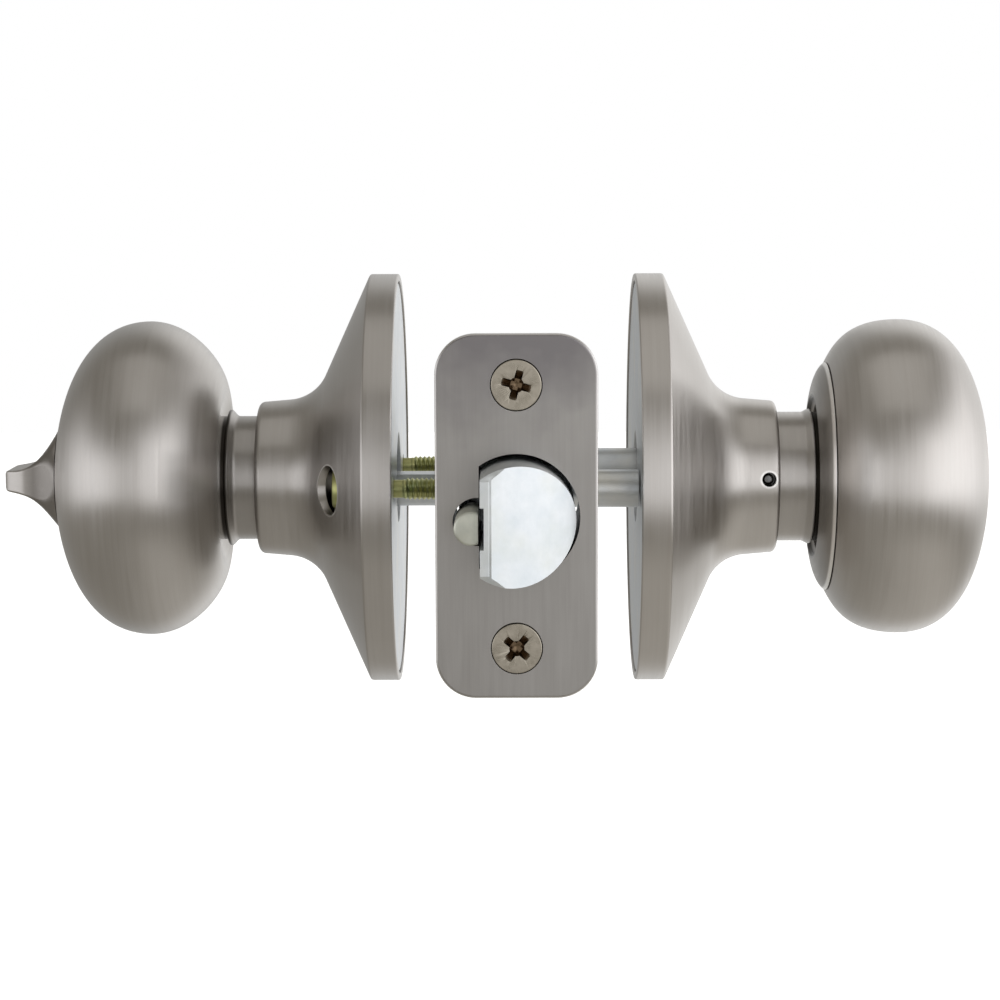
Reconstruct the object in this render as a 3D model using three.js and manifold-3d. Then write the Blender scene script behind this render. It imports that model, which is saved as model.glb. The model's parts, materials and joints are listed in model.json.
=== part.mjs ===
// A keyed door knob set with a thumb turn and a deadlatching spring bolt, as it sits in its door.
// Millimetres. The origin is on the spindle axis at the middle of the door's thickness.
// +X points to the outside, where the key goes, -Y to the edge of the door, and +Z up.
import * as THREE from "three";
import { mergeVertices } from "three/addons/utils/BufferGeometryUtils.js";
import Module from "manifold-3d";

const wasm = await Module();
wasm.setup();

// Driving dimensions
const DOOR = 41.3; // thickness of the door
const DOOR_FACE = DOOR / 2;
const BACKSET = 60.3; // door edge to spindle axis
const GAP = 0.3; // between pieces that touch
const TURN = THREE.MathUtils.degToRad(78); // knob travel that draws the bolt right in
const THROW = 12.7; // how far the bolt stands out of the faceplate
const PLUNGER_THROW = 8;
const LARGE = 28; // sides of a large round piece
const MEDIUM = 20;
const SMALL = 12;

// Roses and what they cover, as distances from the middle of the door
const ROSE_RADIUS = 35.9;
const ROSE_WALL = 1.2;
const COLLAR_END = 45.5;
const PLATE_START = DOOR_FACE + GAP;
const PLATE_END = PLATE_START + 1.4;
const SLEEVE_RADIUS = 9.2;
const SLEEVE_BORE = 8;
const SLEEVE_END = 37.4;
const COVER_RADIUS = 14.7;
const COVER_END = 31.7;
const SHANK_BORE = 9.8;
const CATCH_X = 43.5; // knob catch and the hole in the rose that frees it
const CATCH_TILT = THREE.MathUtils.degToRad(-3.4); // they sit a little above the spindle
const BOLT_CIRCLE = 19; // spindle axis to each through bolt
const BOSS_RADIUS = 4; // the raised seat under a bolt's head
const BOSS_END = 28.6;
const HEAD_RADIUS = 3.9;
const HEAD_HEIGHT = 2.5;
const DRIVER_CIRCLE = 21.6; // further out than the bolts, so that a driver passes the knob
const DRIVER_HOLE = 4.2; // radius

// Spindle, hub and latch
const SPINDLE_RADIUS = 5.1;
const SPINDLE_BORE = 3.8;
const HALF_GAP = 1.2; // each half spindle keeps this far from the middle plane
const HUB_BORE = SPINDLE_RADIUS + GAP;
const JOURNAL_RADIUS = 6.4;
const CASE_SIDE = 7.2; // half the case's thickness
const CASE_RADIUS = 12.5;
const CASE_WALL = 0.7;
const CASE_BACK = 14.5;
const TUBE_RADIUS = 11.2;
const TUBE_WALL = 0.8;
const TUBE_END = -25.9;
const BOLT_RADIUS = 9.3;
const BOLT_FLAT = -5.55; // the flat side of the bolt
const BOLT_DROP = 0.3; // the bolt rests low in its hole
const BOLT_HOLE = BOLT_RADIUS + 2 * BOLT_DROP;
const BOLT_TIP = -BACKSET - THROW;
const BOLT_END = -39.5;
const SPRING_BORE = 4.1;
const SPRING_SEAT = -24.1;
const ARM_RADIUS = THROW / 2 / Math.sin(TURN / 2); // hub centre to the nose of an arm
const NOSE_RADIUS = 1.2;
const NOSE_GAP = 0.35;
const PLUNGER_X = -7;
const PLUNGER_Z = -0.8;
const PLUNGER_RADIUS = 2.65;
const PLUNGER_FLAT = BOLT_FLAT - 0.35; // the flat side that faces the bolt
const PLUNGER_HOLE = { x: -6.2, z: -0.7, radius: 3.75 };
const PLUNGER_TIP = -BACKSET - PLUNGER_THROW;
const PLUNGER_END = -55.5;

// Faceplate
const PLATE_WIDTH = 25.4;
const PLATE_HEIGHT = 57.15;
const PLATE_CORNER = 6.35;
const PLATE_THICKNESS = 2;
const BACK_PLATE_THICKNESS = 1.2;
const SCREW_Z = 20.64;

// Key cylinder
const PLUG_RADIUS = 6.35;
const PLUG_FACE = 81.6;
const FACE_RING_END = 82.1; // lies just under the crown of the knob
const PLUG_END = 58.5;
const PIN_RADIUS = 1.3;
const PIN_CHAMBER = PIN_RADIUS + GAP;
const PIN_PITCH = 3.5;
const FIRST_PIN = 61.6;
const PIN_COUNT = 5;
const TOWER_START = 59.4;
const TOWER_TOP = 12.7;
const HOUSING_END = 77.4;

const THUMB_TIP = 90; // end of the thumb turn's tab

// The two sides differ in the neck and in the back of the knob.
const EXTERIOR = { neck: 11.4, lip: 11.9, lipEnd: 51.8, half: 1, face: 82.6, belly: 67.1, bellyRadius: 27.7 };
const INTERIOR = { neck: 10.9, lip: 12, lipEnd: 50.8, half: -1, face: 81.3, belly: 64.6, bellyRadius: 27.7 };

// Materials
function metal(color, roughness, metalness = 1) {
  return new THREE.MeshStandardMaterial({ color, roughness, metalness });
}
const satinNickel = metal(0x9b958e, 0.35);
const zinc = metal(0xd5dade, 0.3);
const zincYellow = metal(0xb9a566, 0.35);
const plungerZinc = metal(0x9a9b8c, 0.5);
const springSteel = metal(0x77797c, 0.3);
const brass = metal(0xc0a25a, 0.3);
const sinteredSteel = metal(0x6d6a66, 0.6);
const screwNickel = metal(0xa39d8e, 0.3);

const root = new THREE.Group();
const interior = new THREE.Group();
interior.rotation.z = Math.PI;
const exterior = new THREE.Group();
root.add(exterior, interior);

function add(name, geometry, material, parent = root) {
  const mesh = new THREE.Mesh(geometry, material);
  mesh.name = name;
  parent.add(mesh);
}

// Solids: a geometry goes to manifold-3d and back for each join or cut.
function solidOf(geometry) {
  const bare = new THREE.BufferGeometry();
  bare.setAttribute("position", geometry.getAttribute("position"));
  bare.setIndex(geometry.index);
  const merged = mergeVertices(bare, 1e-4);
  return new wasm.Manifold(
    new wasm.Mesh({
      numProp: 3,
      vertProperties: new Float32Array(merged.attributes.position.array),
      triVerts: new Uint32Array(merged.index.array),
    }),
  );
}

function geometryOf(solid) {
  const mesh = solid.getMesh();
  const geometry = new THREE.BufferGeometry();
  geometry.setAttribute("position", new THREE.BufferAttribute(mesh.vertProperties, 3));
  geometry.setIndex(new THREE.BufferAttribute(mesh.triVerts, 1));
  geometry.computeVertexNormals();
  return geometry;
}

function cut(base, ...tools) {
  return geometryOf(tools.reduce((solid, tool) => solid.subtract(solidOf(tool)), solidOf(base)));
}

function join(first, ...others) {
  return geometryOf(others.reduce((solid, other) => solid.add(solidOf(other)), solidOf(first)));
}

function overlap(first, second) {
  return geometryOf(solidOf(first).intersect(solidOf(second)));
}

// A block between two opposite corners.
function block([x0, x1], [y0, y1], [z0, z1]) {
  const box = new THREE.BoxGeometry(x1 - x0, y1 - y0, z1 - z0);
  return box.translate((x0 + x1) / 2, (y0 + y1) / 2, (z0 + z1) / 2);
}

// Corners are [along, out, rounding]. A rounded corner becomes a short curve.
function outline(corners, steps = 2) {
  const points = corners.map(([along, out]) => new THREE.Vector2(along, out));
  return corners.flatMap(([, , rounding], i) => {
    if (!rounding) return [points[i]];
    const before = points[i].clone().sub(points[i - 1]).normalize();
    const after = points[i + 1].clone().sub(points[i]).normalize();
    const reach = rounding * Math.tan(Math.acos(before.dot(after)) / 2);
    const start = points[i].clone().addScaledVector(before, -reach);
    const end = points[i].clone().addScaledVector(after, reach);
    return new THREE.QuadraticBezierCurve(start, points[i], end).getPoints(steps);
  });
}

// Turns an outline about the X axis. It starts and ends on the axis, or it is a closed ring.
function turned(points, sides = MEDIUM) {
  const loop = THREE.ShapeUtils.isClockWise(points) ? [...points] : [...points].reverse();
  if (Math.min(...loop.map((point) => point.y)) > 0) loop.push(loop[0]);
  const profile = loop.map((point) => new THREE.Vector2(point.y, point.x));
  return new THREE.LatheGeometry(profile, sides).rotateZ(-Math.PI / 2);
}

// A round bar along X, and a tube along X.
function bar(x0, x1, radius, sides = MEDIUM) {
  return turned(outline([[x0, 0], [x0, radius], [x1, radius], [x1, 0]]), sides);
}

function tube(x0, x1, radius, bore, sides = MEDIUM) {
  return turned(outline([[x0, bore], [x0, radius], [x1, radius], [x1, bore]]), sides);
}

// The same pieces turned to lie along Y or to stand along Z.
const alongY = (geometry) => geometry.rotateZ(Math.PI / 2);
const alongZ = (geometry) => geometry.rotateY(-Math.PI / 2);

// A shape drawn in Y and Z, carried along X.
function alongXFrom(shape, x0, x1, curveSegments = 6) {
  const options = { depth: x1 - x0, bevelEnabled: false, curveSegments };
  const axes = new THREE.Matrix4().makeBasis(
    new THREE.Vector3(0, 1, 0),
    new THREE.Vector3(0, 0, 1),
    new THREE.Vector3(1, 0, 0),
  );
  return new THREE.ExtrudeGeometry(shape, options).applyMatrix4(axes).translate(x0, 0, 0);
}

// A shape drawn in X and Z, carried along Y.
function alongYFrom(shape, y0, y1, curveSegments = 6) {
  const options = { depth: y1 - y0, bevelEnabled: false, curveSegments };
  return new THREE.ExtrudeGeometry(shape, options).rotateX(Math.PI / 2).translate(0, y1, 0);
}

class Helix extends THREE.Curve {
  constructor(radius, length, turns) {
    super();
    Object.assign(this, { radius, length, turns });
  }

  getPoint(t) {
    const angle = t * this.turns * 2 * Math.PI;
    const { radius, length } = this;
    return new THREE.Vector3(t * length, radius * Math.cos(angle), radius * Math.sin(angle));
  }
}

// A coil spring along X, from x = 0 to its length.
function coil(radius, wire, length, turns, stepsPerTurn) {
  const section = new THREE.Shape();
  section.absarc(0, 0, wire / 2, 0, 2 * Math.PI);
  const path = new Helix(radius, length - wire, turns);
  const steps = Math.round(turns * stepsPerTurn);
  const options = { extrudePath: path, steps, bevelEnabled: false, curveSegments: 3 };
  return new THREE.ExtrudeGeometry(section, options).translate(wire / 2, 0, 0);
}

// A cross recess, cut into a screw head whose face is at the origin and looks along -X.
function crossRecess(depth, angle) {
  const slot = () => block([-1, depth], [-2.2, 2.2], [-0.5, 0.5]);
  return join(slot(), slot().rotateX(Math.PI / 2)).rotateX(angle);
}

// The rose: a spun cover with a cylindrical rim, a cone and a collar.
function rose(side) {
  const bore = side.neck + 0.35;
  const outside = outline(
    [
      [DOOR_FACE, 0],
      [DOOR_FACE, ROSE_RADIUS],
      [25.65, ROSE_RADIUS, 0.6],
      [35.5, 14.2, 7.7],
      [COLLAR_END, 13.35, 1.6],
      [COLLAR_END, 0],
    ],
    3,
  );
  const inside = outline(
    [
      [DOOR_FACE - 1, 0],
      [DOOR_FACE - 1, ROSE_RADIUS - ROSE_WALL],
      [24.9, ROSE_RADIUS - ROSE_WALL],
      [34.7, 13.1, 8.8],
      [COLLAR_END - ROSE_WALL, 12.3],
      [COLLAR_END - ROSE_WALL, bore],
      [COLLAR_END + 1, bore],
      [COLLAR_END + 1, 0],
    ],
    3,
  );
  return cut(turned(outside, LARGE), turned(inside, LARGE));
}

// The plate behind the rose that clamps the door, with a hole for each through bolt. A seat may rise
// round each hole.
function mountingPlate(seatEnd = PLATE_END) {
  const disc = tube(PLATE_START, PLATE_END, ROSE_RADIUS - ROSE_WALL - 0.4, SLEEVE_BORE, LARGE);
  const round = (start, end, radius) =>
    [BOLT_CIRCLE, -BOLT_CIRCLE].map((y) => bar(start, end, radius, SMALL).translate(0, y, 0));
  const plate = seatEnd > PLATE_END ? join(disc, ...round(PLATE_START, seatEnd, BOSS_RADIUS)) : disc;
  return cut(plate, ...round(PLATE_START - 1, seatEnd + 1, 2.3));
}

// The fixed sleeve that the neck turns on.
function bearingSleeve() {
  const flangeStart = PLATE_END + GAP;
  const flangeEnd = flangeStart + 1.5;
  return turned(
    outline([
      [flangeStart, SLEEVE_BORE],
      [flangeStart, 14],
      [flangeEnd, 14],
      [flangeEnd, SLEEVE_RADIUS],
      [SLEEVE_END, SLEEVE_RADIUS],
      [SLEEVE_END, SLEEVE_BORE],
    ]),
  );
}

// The cup over the return spring.
function springCover(side) {
  return turned(
    outline([
      [24.6, COVER_RADIUS - 0.7],
      [24.6, COVER_RADIUS],
      [COVER_END, COVER_RADIUS, 1],
      [COVER_END, side.neck + 0.4],
      [COVER_END - 0.7, side.neck + 0.4],
      [COVER_END - 0.7, COVER_RADIUS - 0.7],
    ]),
  );
}

// The torsion spring that brings the knob back.
function returnSpring() {
  return coil(12.9, 1.1, 4.6, 3.5, 14).translate(24.6, 0, 0);
}

// The open ring that keeps the neck in the spring cover.
function snapRing(side) {
  const ring = tube(29.5, 30.6, 13.7, side.neck + GAP);
  return cut(ring, block([29, 31], [-2.5, 2.5], [5, 16]));
}

// The neck: a tube with a small lip outside the knob and a flange inside it.
function knobShank(side, flangeStart, flangeRadius) {
  const { neck, lip, lipEnd } = side;
  const tubeWithLip = turned(
    outline([
      [25, SHANK_BORE],
      [25, neck],
      [lipEnd - 1.5, neck, 0.8],
      [lipEnd - 0.5, lip],
      [lipEnd, lip],
      [lipEnd, neck],
      [flangeStart, neck],
      [flangeStart, flangeRadius],
      [flangeStart + 1.2, flangeRadius],
      [flangeStart + 1.2, SHANK_BORE],
    ]),
    LARGE,
  );
  return cut(tubeWithLip, atCatch(bar(-14, -8, 1.9, SMALL)));
}

// Half a tube that reaches through the latch hub, on a disc that the neck drives.
function halfSpindle(side) {
  const length = tube(-14, 39, SPINDLE_RADIUS, SPINDLE_BORE);
  const reach = [HALF_GAP, SPINDLE_RADIUS + 1];
  const keep = side.half > 0 ? reach : [-reach[1], -reach[0]];
  const half = overlap(length, block([-15, 40], [-6, 6], keep));
  return join(half, tube(38, 40, SHANK_BORE - GAP, SPINDLE_BORE));
}

// Turns a bar along X to point at the knob catch, from -Y.
function atCatch(piece) {
  return alongY(piece).translate(CATCH_X, 0, 0).rotateX(CATCH_TILT);
}

// The sprung pin that locks the knob to its neck, on a leaf inside the neck.
function knobCatch(side) {
  const pin = atCatch(bar(0.9 - side.neck, -5.8, 1.5, SMALL));
  return join(pin, block([42, 52], [-6.2, -5.4], [-2.4, 2.4]).rotateX(CATCH_TILT));
}

// The knob's outline from where its back begins to the middle of its face.
function knobOutline(side, back) {
  const path = new THREE.Path();
  const { belly, bellyRadius, face } = side;
  path.moveTo(back.start[0], 0);
  path.lineTo(...back.start);
  back.dish.forEach((corner) => path.lineTo(...corner));
  const [lastX, lastRadius] = back.dish.at(-1) ?? back.start;
  path.bezierCurveTo(lastX + back.lean, lastRadius + 3.7, belly - 8, bellyRadius, belly, bellyRadius);
  path.bezierCurveTo(belly + 11.5, bellyRadius, face, 14.8, face, 0);
  return path.getPoints(5);
}

// The hollow of a knob, a simpler outline about 1.5 mm inside the outer one.
function knobHollow(side, backX, backRadius) {
  const { belly, bellyRadius, face } = side;
  const path = new THREE.Path();
  path.moveTo(backX, 0);
  path.lineTo(backX, backRadius);
  path.bezierCurveTo(backX + 0.5, 23.4, belly - 7, bellyRadius - 1.5, belly, bellyRadius - 1.5);
  path.bezierCurveTo(belly + 9.6, bellyRadius - 1.5, face - 2.4, 14, face - 2.4, 0);
  return turned(path.getPoints(3), LARGE);
}

function exteriorKnobShell() {
  const back = { start: [54.6, 20.5], dish: [], lean: 1.8 };
  const shell = turned(knobOutline(EXTERIOR, back), LARGE);
  const hollow = knobHollow(EXTERIOR, 56.2, 19);
  const backOpening = bar(50, 58, 19, LARGE);
  return cut(shell, hollow, backOpening, bar(76, 84, 9.1));
}

// The cap that closes the back of the outside knob.
function knobBackRing() {
  const path = new THREE.Path();
  path.moveTo(53.2, 13.3);
  path.lineTo(52.1, 14.2);
  path.bezierCurveTo(52.4, 17.1, 53.1, 19.2, 54.4, 20.2);
  path.lineTo(54.4, 18.7);
  path.lineTo(55.8, 18.7);
  path.lineTo(55.8, 17.2);
  path.lineTo(54.2, 13.3);
  return turned(path.getPoints(4), LARGE);
}

function interiorKnobShell() {
  const back = { start: [52.9, 11.6], dish: [[51.6, 15]], lean: -1.1 };
  const shell = turned(knobOutline(INTERIOR, back), LARGE);
  const hollow = knobHollow(INTERIOR, 54.4, 15.5);
  const neckHole = bar(50, 56, INTERIOR.neck + 0.4);
  const seat = bar(80.4, 84, 9.6);
  return cut(shell, hollow, neckHole, seat, bar(76, 84, 4.8));
}

// Key cylinder, under the face of the outside knob
function cylinderFaceRing() {
  return turned(
    outline([
      [HOUSING_END + GAP, PLUG_RADIUS + GAP],
      [HOUSING_END + GAP, 8.7],
      [FACE_RING_END, 8.7, 0.6],
      [FACE_RING_END, 7.4],
      [FACE_RING_END - 0.5, PLUG_RADIUS + GAP],
    ]),
  );
}

function cylinderHousing() {
  const barrel = bar(PLUG_END, HOUSING_END, 8.3);
  const tower = block([TOWER_START, HOUSING_END], [-3.1, 3.1], [6, TOWER_TOP]);
  const bore = bar(PLUG_END - 1, 80, PLUG_RADIUS + GAP);
  const chambers = pinStations().map((x) => alongZ(bar(5, 20, PIN_CHAMBER, SMALL)).translate(x, 0, 0));
  return cut(join(barrel, tower), bore, ...chambers);
}

function pinStations() {
  return Array.from({ length: PIN_COUNT }, (_, i) => FIRST_PIN + i * PIN_PITCH);
}

function keyPlug() {
  const plug = join(bar(PLUG_END, PLUG_FACE, PLUG_RADIUS), bar(57, PLUG_END + 1, 4.6));
  const keyway = block([59.5, 84], [-1.1, 1.1], [-5, 2.6]);
  const ward = block([59, 85], [0.3, 1.2], [-2.6, -1.6]);
  const chambers = pinStations().map((x) => alongZ(bar(1.5, 8, PIN_CHAMBER, SMALL)).translate(x, 0, 0));
  return cut(plug, cut(keyway, ward), ...chambers);
}

// The C clip that keeps the plug in its housing.
function plugClip() {
  return cut(tube(57.3, 58.2, 7, 4.9), block([57, 59], [-10, -2], [-3, 3]));
}

// The fork that joins the plug to the torque blade.
function tailpiece() {
  const fork = bar(44, 56.7, SPINDLE_BORE - GAP, SMALL);
  return cut(fork, block([43, 50.4], [-5, 5], [-1.1, 1.1]));
}

// Thumb turn: a flared foot, a tapered tab across it, and a forked boss inside the knob.
function thumbTurn() {
  const foot = new THREE.Path();
  foot.moveTo(80.7, 0);
  foot.lineTo(80.7, 9.2);
  foot.bezierCurveTo(81.6, 6.4, 83, 3.9, 85.2, 2.7);
  foot.lineTo(85.2, 0);
  const mirrored = (half) => [...half, ...half.map(([x, out, rounding]) => [x, -out, rounding]).reverse()];
  const width = new THREE.Shape(outline(mirrored([[81, -7.6], [85, -7.4, 6], [THUMB_TIP, -4.6, 0.8]])));
  const tabWidth = new THREE.ExtrudeGeometry(width, { depth: 10, bevelEnabled: false });
  const thickness = new THREE.Shape(outline(mirrored([[80, 3.6], [84.4, 2.9, 3], [THUMB_TIP, 1.8, 0.5]])));
  const tab = overlap(tabWidth.translate(0, 0, -5), alongYFrom(thickness, -9, 9));
  const boss = bar(74, 81, 4.4, SMALL);
  const slot = block([73, 79], [-5, 5], [-1.1, 1.1]);
  const onFoot = overlap(tab, turned(outline([[80.9, 0], [80.9, 8.9], [92, 8.9], [92, 0]])));
  return cut(join(turned(foot.getPoints(5), MEDIUM), onFoot, boss), slot);
}

// The flat bar from the thumb turn to the key cylinder's tailpiece.
function torqueBlade() {
  return block([-78.6, 50], [-2.8, 2.8], [-0.8, 0.8]);
}

// Latch
function roundedPlate(width, height, corner) {
  const shape = new THREE.Shape();
  const x = width / 2 - corner;
  const z = height / 2 - corner;
  shape.absarc(x, z, corner, 0, Math.PI / 2);
  shape.absarc(-x, z, corner, Math.PI / 2, Math.PI);
  shape.absarc(-x, -z, corner, Math.PI, 1.5 * Math.PI);
  shape.absarc(x, -z, corner, 1.5 * Math.PI, 2 * Math.PI);
  return shape;
}

// A round bar along Y with one flat side, as the bolt and its hole are.
function flattened(radius, flat, y0, y1) {
  return cut(alongY(bar(y0, y1, radius, LARGE)), block([-20, flat], [y0 - 1, y1 + 1], [-15, 15]));
}

function screwHoles(y0, y1, radius) {
  return [SCREW_Z, -SCREW_Z].map((z) => alongY(bar(y0, y1, radius, SMALL)).translate(0, 0, z));
}

// A countersunk wood screw, and the hollow that its head sits in.
function countersink(clearance) {
  const head = 3.95 + clearance;
  return alongY(
    turned(
      outline([
        [-BACKSET - 0.2, 0],
        [-BACKSET - 0.2, head],
        [-BACKSET + 0.1, head],
        [-BACKSET + 2.4, 1.9 + clearance],
        [-BACKSET + 2.4, 0],
      ]),
    ),
  );
}

function faceplate() {
  const front = -BACKSET;
  const back = front + PLATE_THICKNESS;
  const plate = alongYFrom(roundedPlate(PLATE_WIDTH, PLATE_HEIGHT, PLATE_CORNER), front, back);
  const boltHole = flattened(BOLT_HOLE, BOLT_FLAT - GAP, front - 1, back + 1);
  const { x, z, radius } = PLUNGER_HOLE;
  const plungerHole = alongY(bar(front - 1, back + 1, radius, SMALL)).translate(x, 0, z);
  const sinks = [SCREW_Z, -SCREW_Z].map((z) => countersink(GAP + 0.1).translate(0, 0, z));
  const screws = screwHoles(front - 1, back + 1, 2.3);
  return cut(plate, boltHole, plungerHole, ...screws, ...sinks);
}

// The plate behind the faceplate, round the front of the tube.
function latchBackPlate() {
  const front = -BACKSET + PLATE_THICKNESS + GAP;
  const back = front + BACK_PLATE_THICKNESS;
  const shape = roundedPlate(PLATE_WIDTH - 0.6, PLATE_HEIGHT - 0.6, PLATE_CORNER);
  const tubeHole = alongY(bar(front - 1, back + 1, TUBE_RADIUS + GAP, LARGE));
  return cut(alongYFrom(shape, front, back), tubeHole, ...screwHoles(front - 1, back + 1, 2.6));
}

function faceplateScrew(z, angle) {
  const shank = alongY(
    turned(
      outline([
        [-BACKSET + 2, 0],
        [-BACKSET + 2, 1.9],
        [-BACKSET + 15, 1.9],
        [-BACKSET + 19, 0.3],
        [-BACKSET + 19, 0],
      ]),
      SMALL,
    ),
  );
  const recess = alongY(crossRecess(1.9, angle)).translate(0, -BACKSET - 0.2, 0);
  return cut(join(countersink(0), shank), recess).translate(0, 0, z);
}

function latchTube() {
  const front = -BACKSET + PLATE_THICKNESS + GAP;
  return alongY(tube(front, TUBE_END, TUBE_RADIUS, TUBE_RADIUS - TUBE_WALL, LARGE));
}

// One half of the case round the hub: a tube with flattened sides, a back wall and a hub hole.
function latchCaseHalf(sign) {
  const front = TUBE_END + GAP;
  const outside = overlap(
    alongY(bar(front, CASE_BACK, CASE_RADIUS, LARGE)),
    block([-CASE_SIDE, CASE_SIDE], [front - 1, CASE_BACK + 1], [-15, 15]),
  );
  const innerSide = CASE_SIDE - 0.8;
  const inside = overlap(
    alongY(bar(front - 1, CASE_BACK - 0.8, CASE_RADIUS - CASE_WALL, LARGE)),
    block([-innerSide, innerSide], [front - 2, CASE_BACK], [-15, 15]),
  );
  const edges = [sign * GAP * 0.5, sign * 15].sort((a, b) => a - b);
  const half = overlap(cut(outside, inside), block(edges, [-30, 20], [-15, 15]));
  const hubHole = bar(-10, 10, JOURNAL_RADIUS + GAP);
  const postHole = bar(-10, 10, 3.7).translate(0, -BOLT_CIRCLE, 0);
  return cut(half, hubHole, postHole);
}

// The cam: a disc with two arms, on journals, with two ribs that the half spindles push.
function latchHub() {
  const arm = (angle) => {
    const nose = new THREE.Shape();
    nose.absarc(0, ARM_RADIUS, NOSE_RADIUS, 0, 2 * Math.PI);
    const stem = block([-2, 2], [-0.7, 0.7], [4, ARM_RADIUS]);
    return join(alongXFrom(nose, -2, 2), stem).rotateX(angle);
  };
  const middle = bar(-2, 2, JOURNAL_RADIUS + 0.5);
  const journals = bar(-CASE_SIDE, CASE_SIDE, JOURNAL_RADIUS);
  const arms = [arm(TURN / 2), arm(Math.PI - TURN / 2)];
  const body = cut(join(middle, journals, ...arms), bar(-10, 10, HUB_BORE));
  const rib = (sign) => {
    const span = [sign * (SPINDLE_BORE + 0.2), sign * (HUB_BORE + 0.5)].sort((a, b) => a - b);
    return block([-CASE_SIDE, CASE_SIDE], span, [GAP - HALF_GAP, HALF_GAP - GAP]);
  };
  return join(body, rib(1), rib(-1));
}

// The fork behind the bolt: a front wall, a strip along each corner, and a lug behind each arm.
function retractor() {
  const front = BOLT_END + GAP;
  const wallEnd = front + 2;
  const noseFace = -THROW / 2 + NOSE_RADIUS + NOSE_GAP;
  const wall = block([-4.9, 4.9], [front, wallEnd], [-8.6, 8.6]);
  const strips = [-1, 1].flatMap((side) =>
    [-1, 1].flatMap((up) => {
      const x = side > 0 ? [4, 4.9] : [-4.9, -4];
      const low = up > 0 ? [7, 8.6] : [-8.6, -7];
      const tall = up > 0 ? [7, 10.3] : [-10.3, -7];
      return [block(x, [front, noseFace + 2.4], low), block(x, [-8, noseFace + 2.4], tall)];
    }),
  );
  const lugs = [[7.4, 10.3], [-10.3, -7.4]].map((z) => block([-4.9, 4.9], [noseFace, noseFace + 2.4], z));
  const springHole = alongY(bar(front - 1, wallEnd + 1, SPRING_BORE));
  return cut(join(wall, ...strips, ...lugs), springHole);
}

// The bolt: a D section with a curved bevel, a groove for the plunger and a bore for its spring.
function latchBolt() {
  const body = flattened(BOLT_RADIUS, BOLT_FLAT, BOLT_TIP, BOLT_END);
  const tipEdge = BOLT_FLAT + 1.3;
  const bevel = new THREE.Shape();
  bevel.moveTo(tipEdge, BOLT_TIP);
  bevel.quadraticCurveTo(4.6, BOLT_TIP + 3.4, BOLT_RADIUS + 0.6, -BACKSET + 0.2);
  bevel.lineTo(BOLT_RADIUS + 3, BOLT_TIP - 2);
  bevel.lineTo(tipEdge, BOLT_TIP - 2);
  const bevelCut = new THREE.ExtrudeGeometry(bevel, { depth: 30, bevelEnabled: false, curveSegments: 8 });
  const corner = new THREE.Shape(outline([[BOLT_TIP - 1, 5.5], [BOLT_TIP + 3, 12.3], [BOLT_TIP - 1, 12.3]]));
  const chamfers = [alongXFrom(corner, -10, 10), alongXFrom(corner, -10, 10).rotateY(Math.PI)];
  const groove = block([BOLT_FLAT - 1, BOLT_FLAT + 0.6], [BOLT_TIP - 1, BOLT_END + 1], [-3.2, 3.2]);
  const springBore = alongY(bar(-56, BOLT_END + 1, SPRING_BORE));
  const shaped = cut(body, bevelCut.translate(0, 0, -15), ...chamfers, groove, springBore);
  const plungerStop = block([-9.4, BOLT_FLAT + 1], [BOLT_END - 1.6, BOLT_END], [-2.6, 2.6]);
  return join(shaped, plungerStop).translate(0, 0, -BOLT_DROP);
}

function deadlatchPlunger() {
  const rod = turned(
    outline([
      [PLUNGER_TIP, 0],
      [PLUNGER_TIP, PLUNGER_RADIUS - 0.4],
      [PLUNGER_TIP + 0.4, PLUNGER_RADIUS],
      [PLUNGER_END, PLUNGER_RADIUS],
      [PLUNGER_END, 0],
    ]),
    SMALL,
  );
  const flat = block([PLUNGER_FLAT, 0], [PLUNGER_TIP - 1, PLUNGER_END + 1], [-5, 5]);
  return cut(alongY(rod).translate(PLUNGER_X, 0, PLUNGER_Z), flat);
}

function boltSpring() {
  const start = -55.7;
  return alongY(coil(3.1, 0.8, SPRING_SEAT - GAP - start, 8, 8)).translate(0, start, 0);
}

function boltSpringSeat() {
  return block([-6.1, 6.1], [SPRING_SEAT, SPRING_SEAT + 1.2], [-6.4, 6.4]);
}

function plungerSpring() {
  const start = PLUNGER_END + GAP;
  const end = BOLT_END - 1.6 - GAP;
  return alongY(coil(1.3, 0.45, end - start, 6, 7)).translate(PLUNGER_X - 0.6, start, PLUNGER_Z);
}

// The sleeves from the outside plate, and the bolts from the inside plate that screw into them.
function threadedPost() {
  return cut(bar(-9, DOOR_FACE + 0.05, 3.2, SMALL), bar(-10, 4, 2.2, SMALL));
}

function throughBolt() {
  const head = -BOSS_END - GAP;
  const top = head - HEAD_HEIGHT;
  const shape = turned(
    outline([
      [top, 0],
      [top, HEAD_RADIUS - 0.8],
      [top + 1.1, HEAD_RADIUS],
      [head, HEAD_RADIUS],
      [head, 1.9],
      [3, 1.9],
      [3, 0],
    ]),
    SMALL,
  );
  return cut(shape, crossRecess(1.9, 0.5).translate(top, 0, 0));
}

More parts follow.
